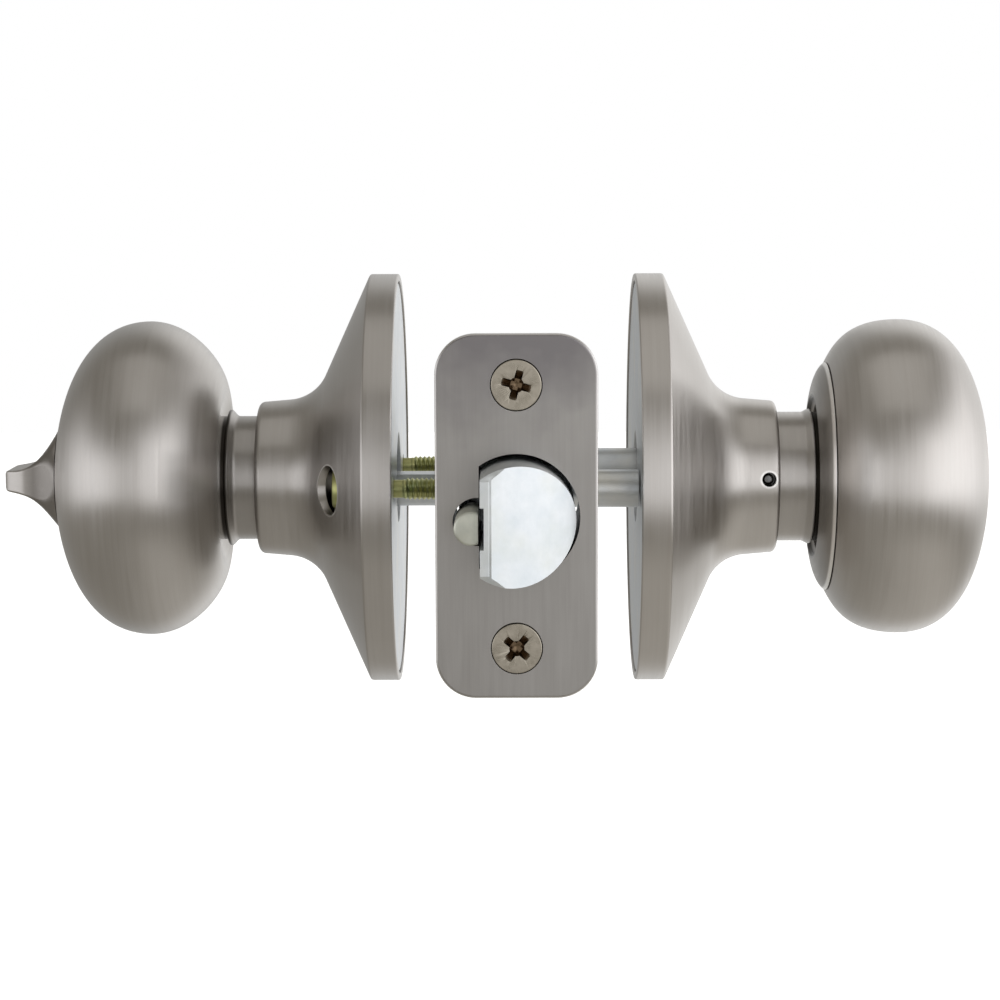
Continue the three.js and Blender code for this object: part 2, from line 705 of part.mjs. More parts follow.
// Chassis: roses, plates, sleeves, springs and the bolts that clamp them
const driverHole = (y) => bar(28, 40, DRIVER_HOLE).translate(0, y, 0);
const releaseHole = atCatch(bar(-16, -10, 1.25, SMALL));
add("exterior_rose", cut(rose(EXTERIOR), releaseHole), satinNickel, exterior);
add(
  "interior_rose",
  cut(rose(INTERIOR), driverHole(DRIVER_CIRCLE), driverHole(-DRIVER_CIRCLE)),
  satinNickel,
  interior,
);
add("exterior_mounting_plate", mountingPlate(), zinc, exterior);
add("interior_mounting_plate", mountingPlate(BOSS_END), zinc, interior);
for (const [place, side, group] of [
  ["exterior", EXTERIOR, exterior],
  ["interior", INTERIOR, interior],
]) {
  add(`${place}_bearing_sleeve`, bearingSleeve(), zinc, group);
  add(`${place}_spring_cover`, springCover(side), zinc, group);
  add(`${place}_return_spring`, returnSpring(), springSteel, group);
  add(`${place}_snap_ring`, snapRing(side), springSteel, group);
  add(`${place}_spindle`, halfSpindle(side), zinc, group);
  add(`${place}_knob_catch`, knobCatch(side), springSteel, group);
}
for (const [place, y] of [
  ["front", -BOLT_CIRCLE],
  ["rear", BOLT_CIRCLE],
]) {
  add(`threaded_post_${place}`, threadedPost().translate(0, y, 0), zinc);
  add(`through_bolt_${place}`, throughBolt().translate(0, y, 0), zincYellow);
}

// Knobs
add("exterior_knob_shell", exteriorKnobShell(), satinNickel, exterior);
add("exterior_knob_back_ring", knobBackRing(), satinNickel, exterior);
add("exterior_knob_shank", knobShank(EXTERIOR, 56.1, 17.5), satinNickel, exterior);
add("interior_knob_shell", interiorKnobShell(), satinNickel, interior);
add("interior_knob_shank", knobShank(INTERIOR, 54.8, 15), satinNickel, interior);

// Key cylinder
add("cylinder_face_ring", cylinderFaceRing(), satinNickel);
add("cylinder_housing", cylinderHousing(), brass);
add("key_plug", keyPlug(), brass);
add("plug_clip", plugClip(), springSteel);
add("tailpiece", tailpiece(), zinc);
pinStations().forEach((x, i) => {
  const foot = 2.2 + 0.5 * ((i * 2) % PIN_COUNT);
  const keyPin = turned(
    outline([[foot, 0], [foot, 0.4], [foot + 0.8, PIN_RADIUS], [6.2, PIN_RADIUS], [6.2, 0]]),
    SMALL,
  );
  add(`key_pin_${i + 1}`, alongZ(keyPin).translate(x, 0, 0), brass);
  add(`driver_pin_${i + 1}`, alongZ(bar(6.7, 9.6, PIN_RADIUS, SMALL)).translate(x, 0, 0), springSteel);
});
const coverTop = [TOWER_TOP + GAP, TOWER_TOP + GAP + 0.6];
add("pin_chamber_cover", block([TOWER_START, HOUSING_END], [-2.6, 2.6], coverTop), brass);

// Thumb turn
add("thumb_turn", thumbTurn(), satinNickel, interior);
add("thumb_turn_washer", tube(76.6, 77.4, 7.5, 4.8), springSteel, interior);
add("torque_blade", torqueBlade(), zinc);

// Latch
add("faceplate", faceplate(), satinNickel);
add("latch_back_plate", latchBackPlate(), zinc);
add("faceplate_screw_top", faceplateScrew(SCREW_Z, 0.26), screwNickel);
add("faceplate_screw_bottom", faceplateScrew(-SCREW_Z, 0.7), screwNickel);
add("latch_tube", latchTube(), zinc);
add("latch_case_right", latchCaseHalf(1), zinc);
add("latch_case_left", latchCaseHalf(-1), zinc);
add("latch_hub", latchHub(), sinteredSteel);
add("retractor", retractor(), zinc);
add("latch_bolt", latchBolt(), zinc);
add("bolt_spring", boltSpring(), springSteel);
add("bolt_spring_seat", boltSpringSeat(), zinc);
add("deadlatch_plunger", deadlatchPlunger(), plungerZinc);
add("plunger_spring", plungerSpring(), springSteel);

export default root;
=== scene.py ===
import json
from math import atan2, ceil, cos, hypot, pi, radians, sin, tan

import bmesh
import bpy
from mathutils import Matrix, Vector


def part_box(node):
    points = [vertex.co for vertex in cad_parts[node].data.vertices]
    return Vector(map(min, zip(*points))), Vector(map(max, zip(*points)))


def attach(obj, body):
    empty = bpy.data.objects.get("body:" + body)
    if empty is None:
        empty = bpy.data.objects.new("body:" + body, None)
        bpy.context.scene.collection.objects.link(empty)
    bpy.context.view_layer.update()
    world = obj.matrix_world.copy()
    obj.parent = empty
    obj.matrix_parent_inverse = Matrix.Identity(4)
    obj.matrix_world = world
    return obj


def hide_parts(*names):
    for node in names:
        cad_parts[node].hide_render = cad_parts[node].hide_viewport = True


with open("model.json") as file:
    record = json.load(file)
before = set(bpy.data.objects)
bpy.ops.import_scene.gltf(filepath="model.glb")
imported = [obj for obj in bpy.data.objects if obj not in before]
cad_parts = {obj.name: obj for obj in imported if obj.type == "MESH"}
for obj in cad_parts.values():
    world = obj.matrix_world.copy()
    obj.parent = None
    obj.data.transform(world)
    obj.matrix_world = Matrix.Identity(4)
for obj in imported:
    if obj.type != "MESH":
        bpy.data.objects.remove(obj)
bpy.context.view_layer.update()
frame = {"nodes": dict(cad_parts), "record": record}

# A keyed door knob set with a thumb turn and a deadlatching spring bolt, in satin nickel.
# X runs along the spindle to the outside, -Y to the edge of the door and Z up.
# Shapes are drawn in millimetres and made in metres.
MM = 0.001


def extent(node):
    """A CAD node's lowest and highest corner, in millimetres."""
    return [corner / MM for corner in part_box(node)]


# Driving dimensions, read from the frame
DOOR_FACE = extent("exterior_rose")[0].x
COLLAR_END = extent("exterior_rose")[1].x
ROSE_RADIUS = extent("exterior_rose")[1].z
KNOB_RADIUS = extent("exterior_knob_shell")[1].z
PLATE_FRONT = extent("faceplate")[0].y
PLATE_BACK = extent("faceplate")[1].y
PLATE_HALF_WIDTH = extent("faceplate")[1].x
PLATE_HALF_HEIGHT = extent("faceplate")[1].z
BOLT_TIP, BOLT_END = (corner.y for corner in extent("latch_bolt"))
BOLT_BOTTOM, BOLT_TOP = (corner.z for corner in extent("latch_bolt"))
BOLT_RADIUS = (BOLT_TOP - BOLT_BOTTOM) / 2
BOLT_Z = (BOLT_TOP + BOLT_BOTTOM) / 2
PLUNGER_TIP, PLUNGER_END = (corner.y for corner in extent("deadlatch_plunger"))
PLUNGER_BOTTOM, PLUNGER_TOP = (corner.z for corner in extent("deadlatch_plunger"))
PLUNGER_RADIUS = (PLUNGER_TOP - PLUNGER_BOTTOM) / 2
PLUNGER_Z = (PLUNGER_TOP + PLUNGER_BOTTOM) / 2
PLUNGER_X = extent("deadlatch_plunger")[0].x + PLUNGER_RADIUS
PLUNGER_FLAT = extent("deadlatch_plunger")[1].x
THUMB_TIP = -extent("thumb_turn")[0].x
FACE_RING_END = extent("cylinder_face_ring")[1].x
PLUG_FACE = extent("key_plug")[1].x
SCREW_Z = sum(corner.z for corner in extent("faceplate_screw_top")) / 2
BOLT_CIRCLE = sum(corner.y for corner in extent("threaded_post_rear")) / 2

# Smaller dimensions
ROSE_WALL = 1.2
EDGE = 0.12  # how far an edge is broken where nothing else is said
BOLT_FLAT = -5.55
PLUNGER_HOLE = (-6.2, -0.7, 3.75)  # across, up and radius
DRIVER_CIRCLE = 21.6
DRIVER_HOLE = 4.2
SHANK_BORE = 9.8
RELEASE_HOLE = 1.25  # radius
CATCH_X = 43.5  # knob catch and the hole in the rose that frees it
CATCH_TILT = Matrix.Rotation(radians(-3.4), 4, "X")  # they sit a little above the spindle
CATCH_HEIGHT = (CATCH_TILT @ Vector((0, -13.35, 0))).z
AT_CATCH = CATCH_TILT @ Matrix.Translation((CATCH_X, 0, 0)) @ Matrix.Rotation(pi / 2, 4, "Z")
PLUG_RADIUS = 6.35
PIN_STATIONS = [61.6 + 3.5 * i for i in range(5)]
SLACK = 0.3  # between pieces that touch
# Painted shade is laid along these spans
PAINTED_SHADE_SPANS = ((-51.55, -50.35), (51.85, 52.75))  # where each neck meets its knob, along X
RING_END = 54.4  # the seam between the outside knob's back ring and its shell, along X

# Head of a faceplate screw: three stations along Y, its radius and that of its neck
HEAD_FRONT = PLATE_FRONT - 0.2
HEAD_EDGE = PLATE_FRONT + 0.1
HEAD_BACK = PLATE_FRONT + 2.4
HEAD_RADIUS = 3.95
HEAD_NECK = 1.9

# Sides of a round piece
FINE = 240
MEDIUM = 96
SMALL = 48

# How a piece drawn about X is placed
OUTWARD = Matrix.Identity(4)
INWARD = Matrix.Rotation(pi, 4, "Z")
ALONG_Y = Matrix.Rotation(pi / 2, 4, "Z")
ALONG_Z = Matrix.Rotation(-pi / 2, 4, "Y")

# The two sides differ in the radius of the neck and its lip, and in the knob
EXTERIOR = {
    "name": "exterior",
    "place": OUTWARD,
    "neck": 11.4,
    "lip": 11.9,
    "lip_end": 51.8,
    "belly": 67.1,
    "face": 82.6,
}
INTERIOR = {
    "name": "interior",
    "place": INWARD,
    "neck": 10.9,
    "lip": 12,
    "lip_end": 50.8,
    "belly": 64.6,
    "face": 81.3,
}


# Outlines: lists of (along, out) points, or corners with a radius as a third number

def rounded(corners, ring=False):
    """Each corner becomes an arc, of EDGE if it states no radius; 0 leaves it sharp."""
    points = []
    for i, (along, out, *radius) in enumerate(corners):
        here = Vector((along, out))
        wanted = radius[0] if radius else EDGE
        on_axis = not ring and i in (0, len(corners) - 1)
        if on_axis or not wanted:
            points.append(tuple(here))
            continue
        back = Vector(corners[i - 1][:2]) - here
        ahead = Vector(corners[(i + 1) % len(corners)][:2]) - here
        half = back.angle(ahead) / 2
        if half > 0.49 * pi:
            points.append(tuple(here))
            continue
        reach = min(wanted / tan(half), 0.48 * back.length, 0.48 * ahead.length)
        radius_made = reach * tan(half)
        middle = (back.normalized() + ahead.normalized()).normalized()
        centre = here + middle * (radius_made / sin(half))
        first = here + back.normalized() * reach - centre
        last = here + ahead.normalized() * reach - centre
        sweep = pi - 2 * half
        count = max(4, ceil(sweep * radius_made / 0.3))  # four chords or more, of 0.3 mm or less
        for k in range(count + 1):
            share = k / count
            spoke = (first * sin((1 - share) * sweep) + last * sin(share * sweep)) / sin(sweep)
            points.append(tuple(centre + spoke))
    return points


def bezier(p0, p1, p2, p3, steps=40):
    """Corners with no rounding along a cubic curve."""
    made = []
    for k in range(steps + 1):
        t = k / steps
        shares = ((1 - t) ** 3, 3 * t * (1 - t) ** 2, 3 * t * t * (1 - t), t ** 3)
        along, out = (
            sum(share * point[axis] for share, point in zip(shares, (p0, p1, p2, p3))) for axis in (0, 1)
        )
        made.append((along, out, 0))
    return made


def clipped(corners, radius):
    """The part of an outline that is further out than a radius, ended just on it."""
    kept = []
    for corner in corners:
        if corner[1] < radius:
            before = kept[-1]
            share = (before[1] - radius) / (before[1] - corner[1])
            kept.append((before[0] + share * (corner[0] - before[0]), radius))
            break
        kept.append(corner)
    return kept


def dense(points, span, ring=True):
    """Adds points so that no stretch is longer than span."""
    made = []
    for i, point in enumerate(points):
        made.append(point)
        if not ring and i == len(points) - 1:
            break
        ahead = points[(i + 1) % len(points)]
        count = ceil(hypot(ahead[0] - point[0], ahead[1] - point[1]) / span)
        for k in range(1, count):
            made.append(tuple(a + (b - a) * k / count for a, b in zip(point, ahead)))
    return made


def circle(x, z, radius):
    angles = [2 * pi * i / MEDIUM for i in range(MEDIUM)]
    return [(x + radius * cos(angle), z + radius * sin(angle)) for angle in angles]


def box_outline(low_u, high_u, low_v, high_v):
    return [(low_u, low_v), (high_u, low_v), (high_u, high_v), (low_u, high_v)]


def rounded_box(half_width, half_height, radius, steps):
    """A rectangle about the origin with round corners."""
    points = []
    for quarter, (side, up) in enumerate(((1, 1), (-1, 1), (-1, -1), (1, -1))):
        for k in range(steps + 1):
            angle = (quarter + k / steps) * pi / 2
            across = side * (half_width - radius) + radius * cos(angle)
            height = up * (half_height - radius) + radius * sin(angle)
            points.append((across, height))
    return points


# Solids

def made(name, mesh, place=OUTWARD):
    """An object of a mesh that was drawn in millimetres."""
    bmesh.ops.transform(mesh, matrix=Matrix.Scale(MM, 4) @ place, verts=mesh.verts)
    bmesh.ops.recalc_face_normals(mesh, faces=mesh.faces)
    data = bpy.data.meshes.new(name)
    mesh.to_mesh(data)
    mesh.free()
    piece = bpy.data.objects.new(name, data)
    bpy.context.scene.collection.objects.link(piece)
    return piece


def skinned(name, rings, closed, place=OUTWARD):
    """A solid through rings of points. A ring of one point is a tip; open ends are capped."""
    mesh = bmesh.new()
    rings = [[mesh.verts.new(point) for point in ring] for ring in rings]
    pairs = list(zip(rings, rings[1:]))
    if closed:
        pairs.append((rings[-1], rings[0]))
    for first, second in pairs:
        count = max(len(first), len(second))
        for i in range(count):
            j = (i + 1) % count
            around = ((first, i), (first, j), (second, j), (second, i))
            corners = [ring[k % len(ring)] for ring, k in around]
            mesh.faces.new(list(dict.fromkeys(corners)))
    if not closed:
        for end in (rings[0], rings[-1]):
            if len(end) > 2:
                mesh.faces.new(end)
    return made(name, mesh, place)


def turned(name, outline, sides=MEDIUM, place=OUTWARD, ridge=None):
    """A solid of revolution about X, from axis to axis or as a ring.

    ridge(along, angle) adds to its radius.
    """
    closed = min(out for _, out in outline) > 1e-6
    rings = []
    for along, out in outline:
        if out < 1e-6:
            rings.append([(along, 0, 0)])
            continue
        ring = []
        for i in range(sides):
            angle = 2 * pi * i / sides
            radius = out + (ridge(along, angle) if ridge else 0)
            ring.append((along, radius * cos(angle), radius * sin(angle)))
        rings.append(ring)
    return skinned(name, rings, closed, place)


def bar(start, end, radius, place=OUTWARD, sides=MEDIUM):
    """A plain round cutter along X."""
    return turned("tool", [(start, 0), (start, radius), (end, radius), (end, 0)], sides, place)


def prism(name, outline, start, end, axis="Y"):
    """An outline drawn in the other two directions, carried along an axis."""
    corner = {
        "X": lambda u, v, w: (w, u, v),
        "Y": lambda u, v, w: (u, w, v),
        "Z": lambda u, v, w: (u, v, w),
    }[axis]
    return skinned(name, [[corner(u, v, w) for u, v in outline] for w in (start, end)], False)


def lofted(name, sections, place):
    """A solid through rounded rectangles along X: (along, half width, half height, corner radius)."""
    rings = []
    for along, *sizes in sections:
        rings.append([(along, y, z) for y, z in rounded_box(*sizes, steps=10)])
    return skinned(name, rings, False, place)


def coil(name, radius, wire, start, length, turns, place, dead=1.0):
    """A round-wire spring along X whose ends lie closed for some dead turns."""
    steps, wire_sides = 44, 12
    total = turns + 2 * dead
    run = length - wire
    closed_run = dead * wire * 1.02
    count = round(total * steps)
    rings = []
    for k in range(count + 1):
        turn = total * k / count
        if turn < dead:
            along = closed_run * turn / dead
        elif turn > total - dead:
            along = run - closed_run * (total - turn) / dead
        else:
            along = closed_run + (run - 2 * closed_run) * (turn - dead) / turns
        angle = 2 * pi * turn
        ring = []
        for i in range(wire_sides):
            around = 2 * pi * i / wire_sides
            out = radius + wire / 2 * cos(around)
            x = start + wire / 2 + along + wire / 2 * sin(around)
            ring.append((x, out * cos(angle), out * sin(angle)))
        rings.append(ring)
    return skinned(name, rings, False, place)


def settle(piece):
    """Makes a piece's modifiers part of its mesh."""
    evaluated = piece.evaluated_get(bpy.context.evaluated_depsgraph_get())
    mesh = bpy.data.meshes.new_from_object(evaluated)
    piece.modifiers.clear()
    old = piece.data
    piece.data = mesh
    bpy.data.meshes.remove(old)
    return piece


def combined(piece, operation, tools):
    for tool in tools:
        modifier = piece.modifiers.new("boolean", "BOOLEAN")
        modifier.operation = operation
        modifier.solver = "EXACT"
        modifier.object = tool
        settle(piece)
        mesh = tool.data
        bpy.data.objects.remove(tool)
        bpy.data.meshes.remove(mesh)
    return piece


def cut(piece, *tools):
    return combined(piece, "DIFFERENCE", tools)


def joined(piece, *tools):
    return combined(piece, "UNION", tools)


def cleaned(piece):
    """Melts faces that lie in one plane, so that edges can be broken evenly."""
    mesh = bmesh.new()
    mesh.from_mesh(piece.data)
    bmesh.ops.remove_doubles(mesh, verts=mesh.verts, dist=0.002 * MM)
    bmesh.ops.dissolve_limit(mesh, angle_limit=radians(0.5), verts=mesh.verts, edges=mesh.edges)
    mesh.to_mesh(piece.data)
    mesh.free()
    return piece


def softened(piece, width, limit=40, segments=3, where=None):
    """Rounds the edges sharper than limit, or those of them that where(middle in millimetres) picks."""
    mesh = bmesh.new()
    mesh.from_mesh(piece.data)
    sharp = []
    for edge in mesh.edges:
        if len(edge.link_faces) != 2 or edge.calc_face_angle(0) < radians(limit):
            continue
        middle = (edge.verts[0].co + edge.verts[1].co) / (2 * MM)
        if where is None or where(middle):
            sharp.append(edge)
    bmesh.ops.bevel(
        mesh,
        geom=sharp,
        offset=width * MM,
        offset_type="OFFSET",
        segments=segments,
        profile=0.5,
        affect="EDGES",
        clamp_overlap=True,
    )
    mesh.to_mesh(piece.data)
    mesh.free()
    return piece


# Shader nodes

def add_node(tree, kind, inputs=None, **settings):
    """A node of a tree. Each of its inputs is a value or the output of another node."""
    node = tree.nodes.new(kind)
    for name, value in settings.items():
        setattr(node, name, value)
    for name, value in (inputs or {}).items():
        if isinstance(value, bpy.types.NodeSocket):
            tree.links.new(value, node.inputs[name])
        else:
            node.inputs[name].default_value = value
    return node


def mixed_color(tree, share, first, second):
    """A colour between two others. A colour is three numbers or the output of a node."""
    first, second = ((*color, 1) if isinstance(color, tuple) else color for color in (first, second))
    inputs = {0: share, 6: first, 7: second}
    return add_node(tree, "ShaderNodeMix", inputs, data_type="RGBA", clamp_factor=True).outputs[2]


# Materials: brushed, plated and machined metal

class Finish:
    """One material. Its textures read the piece's own coordinates."""

    def __init__(self, name, metallic=1.0, anisotropy=0.0):
        self.material = bpy.data.materials.new(name)
        self.material.use_nodes = True
        self.tree = self.material.node_tree
        self.shader = self.tree.nodes["Principled BSDF"]
        self.shader.inputs["Metallic"].default_value = metallic
        self.shader.inputs["Anisotropic"].default_value = anisotropy
        place = self.node("ShaderNodeTexCoord").outputs["Object"]
        in_mm = self.node("ShaderNodeVectorMath", {0: place, "Scale": 1 / MM}, operation="SCALE")
        self.point = in_mm.outputs["Vector"]
        split = self.node("ShaderNodeSeparateXYZ", {0: self.point})
        self.x, self.y, self.z = split.outputs

    def node(self, kind, inputs=None, **settings):
        return add_node(self.tree, kind, inputs, **settings)

    def math(self, operation, first, second=0.0):
        return self.node("ShaderNodeMath", {0: first, 1: second}, operation=operation).outputs[0]

    def weighed(self, first, share, second):
        """A mean of two values, with a share for the first."""
        rest = self.math("MULTIPLY", second, 1 - share)
        return self.math("ADD", self.math("MULTIPLY", first, share), rest)

    def vector(self, x, y, z):
        return self.node("ShaderNodeCombineXYZ", {0: x, 1: y, 2: z}).outputs[0]

    def noise(self, vector, seed, detail=2.0):
        inputs = {"Vector": vector, "W": seed, "Scale": 1.0, "Detail": detail, "Roughness": 0.5}
        return self.node("ShaderNodeTexNoise", inputs, noise_dimensions="4D").outputs[0]

    def cloud(self, size, detail=3.0, seed=0.0):
        """Soft patches about size millimetres across."""
        scaled = self.node("ShaderNodeVectorMath", {0: self.point, "Scale": 1 / size}, operation="SCALE")
        return self.noise(scaled.outputs["Vector"], seed, detail)

    def grain(self, way, width, run, seed):
        """Scratches width wide and about run long, round the X axis or along X, Y or Z."""
        if way == "round":
            radius = self.distance(self.y, 0, self.z, 0)
            safe = self.math("MAXIMUM", radius, 0.01)
            around = 20 / run
            across = self.math("MULTIPLY", self.math("DIVIDE", self.y, safe), around)
            up = self.math("MULTIPLY", self.math("DIVIDE", self.z, safe), around)
            along = self.math("DIVIDE", self.x, width)
            out = self.math("DIVIDE", radius, width)
            return self.noise(self.vector(along, out, across), self.math("ADD", up, seed))
        sizes = [run if axis == way else width for axis in "XYZ"]
        parts = [self.math("DIVIDE", part, size) for part, size in zip((self.x, self.y, self.z), sizes)]
        return self.noise(self.vector(*parts), seed)

    def ranged(self, value, low, high, start=0.3, end=0.7):
        inputs = {"Value": value, "From Min": start, "From Max": end, "To Min": low, "To Max": high}
        return self.node("ShaderNodeMapRange", inputs).outputs["Result"]

    def between(self, value, start, risen, falling, end):
        """1 from risen to falling, and 0 before start and after end."""
        rise = self.ranged(value, 0, 1, start, risen)
        return self.math("MULTIPLY", rise, self.ranged(value, 1, 0, falling, end))

    def distance(self, first, first_middle, second, second_middle):
        """How far a point is from a line, from two of its coordinates and the line's."""
        squared = []
        for part, middle in ((first, first_middle), (second, second_middle)):
            offset = self.math("SUBTRACT", part, middle)
            squared.append(self.math("MULTIPLY", offset, offset))
        return self.math("SQRT", self.math("ADD", *squared))

    def mixed(self, share, first, second):
        return mixed_color(self.tree, share, first, second)

    def color(self, value):
        self.tree.links.new(value, self.shader.inputs["Base Color"])

    def roughness(self, value):
        self.tree.links.new(value, self.shader.inputs["Roughness"])

    def bump(self, height, depth, under=None):
        """Raises the surface by up to depth millimetres."""
        inputs = {"Height": height, "Distance": depth * MM, "Strength": 1.0}
        if under is not None:
            inputs["Normal"] = under
        normal = self.node("ShaderNodeBump", inputs).outputs["Normal"]
        self.tree.links.new(normal, self.shader.inputs["Normal"])
        return normal

    def tangent_round_x(self):
        tangent = self.node("ShaderNodeTangent", direction_type="RADIAL", axis="X").outputs["Tangent"]
        self.tree.links.new(tangent, self.shader.inputs["Tangent"])
        self.shader.inputs["Anisotropic Rotation"].default_value = 0.25


def turned_painted_light(finish, plate):
    """The painted shade and highlights of the round pieces, over the nickel itself."""
    return painted_hole_rim_highlights(finish, painted_ring_edge_highlight(finish, painted_crevice_shade(finish, plate)))


def painted_crevice_shade(finish, plate):
    """Painted shade, nearly black, where a neck meets its knob."""
    near_neck = finish.ranged(finish.distance(finish.y, 0, finish.z, 0), 1, 0, 14.2, 14.7)
    for low, high in PAINTED_SHADE_SPANS:
        inside = finish.between(finish.x, low - 0.25, low + 0.1, high - 0.1, high + 0.25)
        plate = finish.mixed(finish.math("MULTIPLY", inside, near_neck), plate, (0.045, 0.04, 0.034))
    return plate


def painted_ring_edge_highlight(finish, plate):
    """A painted highlight along the edge of the outside knob's back ring, beside the seam."""
    outer = finish.ranged(finish.distance(finish.y, 0, finish.z, 0), 0, 1, 19, 19.6)
    at_edge = finish.between(finish.x, RING_END - 0.65, RING_END - 0.4, RING_END - 0.1, RING_END + 0.1)
    return finish.mixed(finish.math("MULTIPLY", at_edge, outer), plate, (1, 0.98, 0.95))


def painted_hole_rim_highlights(finish, plate):
    """Painted highlights round the release hole and the driver holes."""
    release = finish.distance(finish.x, CATCH_X, finish.z, CATCH_HEIGHT)
    near_hole = finish.ranged(release, 1, 0, RELEASE_HOLE + 0.25, RELEASE_HOLE + 0.45)
    release_rim = finish.math("MULTIPLY", near_hole, finish.ranged(finish.y, 1, 0, -12, -11))
    driver = finish.distance(finish.math("ABSOLUTE", finish.y), DRIVER_CIRCLE, finish.z, 0)
    past_hole = finish.math("SUBTRACT", driver, DRIVER_HOLE)
    on_rose = finish.between(finish.x, -38, -37, -10, -9)
    driver_rim = finish.math("MULTIPLY", finish.between(past_hole, 0.02, 0.08, 0.25, 0.35), on_rose)
    return finish.mixed(finish.math("MAXIMUM", release_rim, driver_rim), plate, (0.74, 0.72, 0.69))


def painted_foot_shade(finish, plate):
    """Painted shade: darker where the thumb turn flares into its foot."""
    return finish.mixed(finish.ranged(finish.x, 0, 0.8, -86.6, -84.6), plate, (0.21, 0.195, 0.18))


def painted_plate_shade_and_highlight(finish, plate):
    """Painted shade, darker and a little purple, towards the faceplate's top, and a painted highlight round
    its outer edge.
    """
    height = finish.math("ADD", finish.z, finish.ranged(finish.cloud(9, seed=21), -5, 5))
    plate = finish.mixed(finish.ranged(height, 0, 0.9, 13, 27), plate, (0.22, 0.208, 0.212))
    beside = finish.ranged(finish.math("ABSOLUTE", finish.x), 0, 1, 11.4, 11.6)
    beyond = finish.ranged(finish.math("ABSOLUTE", finish.z), 0, 1, 25.2, 25.6)
    outer = finish.math("MAXIMUM", beside, beyond)
    rounding = finish.ranged(finish.y, 0, 0.7, PLATE_FRONT + 0.03, PLATE_FRONT + 0.14)
    return finish.mixed(finish.math("MULTIPLY", outer, rounding), plate, (0.8, 0.775, 0.75))


def satin_nickel(name, way, light, dark, rough=0.36, anisotropy=0.0):
    """Nickel plate brushed one way: fine scratches over wider streaks and faint clouds.

    The round pieces, the thumb turn and the faceplate each have their own painted shade and highlights.
    """
    finish = Finish(name, anisotropy=anisotropy)
    fine = finish.grain(way, 0.16, 9, seed=1)
    wide = finish.grain(way, 0.9, 14, seed=5)
    patches = finish.cloud(14, seed=9)
    tone = finish.weighed(finish.weighed(wide, 0.55, patches), 0.75, fine)
    plate = finish.mixed(finish.ranged(tone, 0, 1, 0.36, 0.64), dark, light)
    shade = {"round": turned_painted_light, "X": painted_foot_shade, "Z": painted_plate_shade_and_highlight}[way]
    finish.color(shade(finish, plate))
    worn = finish.math("ADD", finish.ranged(fine, -0.05, 0.05), finish.ranged(wide, -0.03, 0.03))
    finish.roughness(finish.math("ADD", worn, rough))
    finish.bump(fine, 0.006)
    if way == "round":
        finish.tangent_round_x()
    return finish.material


def plated(name, light, dark, tint, rough, patch):
    """Zinc plate on pressed or cast metal: soft mottling with a faint tint in places."""
    finish = Finish(name)
    patches = finish.cloud(patch, 4, seed=2)
    specks = finish.cloud(0.7, 2, seed=7)
    stain = finish.cloud(patch * 1.7, 3, seed=13)
    base = finish.mixed(finish.ranged(patches, 0, 1), dark, light)
    finish.color(finish.mixed(finish.ranged(stain, 0, 0.6, 0.5, 0.75), base, tint))
    worn = finish.math("ADD", finish.ranged(patches, -0.06, 0.06), finish.ranged(specks, -0.03, 0.03))
    finish.roughness(finish.math("ADD", worn, rough))
    finish.bump(specks, 0.01)
    return finish.material


def machined(name, way, light, dark, rough):
    """Turned or drawn metal: tool marks one way."""
    finish = Finish(name)
    marks = finish.grain(way, 0.25, 30, seed=3)
    patches = finish.cloud(5, seed=4)
    tone = finish.weighed(marks, 0.6, patches)
    finish.color(finish.mixed(finish.ranged(tone, 0, 1), dark, light))
    finish.roughness(finish.math("ADD", finish.ranged(marks, -0.06, 0.06), rough))
    finish.bump(marks, 0.008)
    return finish.material


def screw_nickel():
    """Warm nickel plate with painted shade inside the cross of a faceplate screw."""
    finish = Finish("screw_nickel")
    patches = finish.cloud(1.5, 4, seed=2)
    specks = finish.cloud(0.4, 2, seed=7)
    plate = finish.mixed(finish.ranged(patches, 0, 1), (0.33, 0.3, 0.245), (0.46, 0.42, 0.352))
    out = finish.distance(finish.x, 0, finish.math("ABSOLUTE", finish.z), SCREW_Z)
    height = finish.math("SUBTRACT", finish.y, PLATE_FRONT)
    below = finish.between(height, -0.12, 0.35, 2, 2.3)
    inside = finish.math("MULTIPLY", below, finish.ranged(out, 1, 0, 2.7, 2.9))
    # The dark brown inside the cross is painted shade
    finish.color(finish.mixed(inside, plate, (0.17, 0.12, 0.075)))
    worn = finish.ranged(specks, -0.03, 0.03)
    finish.roughness(finish.math("ADD", finish.ranged(patches, 0.24, 0.36), worn))
    finish.bump(specks, 0.01)
    return finish.material


NICKEL = {"light": (0.58, 0.555, 0.528), "dark": (0.505, 0.478, 0.449)}
PLATE_NICKEL = {"light": (0.4, 0.386, 0.37), "dark": (0.343, 0.33, 0.314)}
BRASS = {"light": (0.8, 0.64, 0.33), "dark": (0.6, 0.45, 0.2)}
STEEL = {"light": (0.55, 0.56, 0.57), "dark": (0.34, 0.35, 0.36)}
TURNED = {"way": "round", "anisotropy": 0.75}

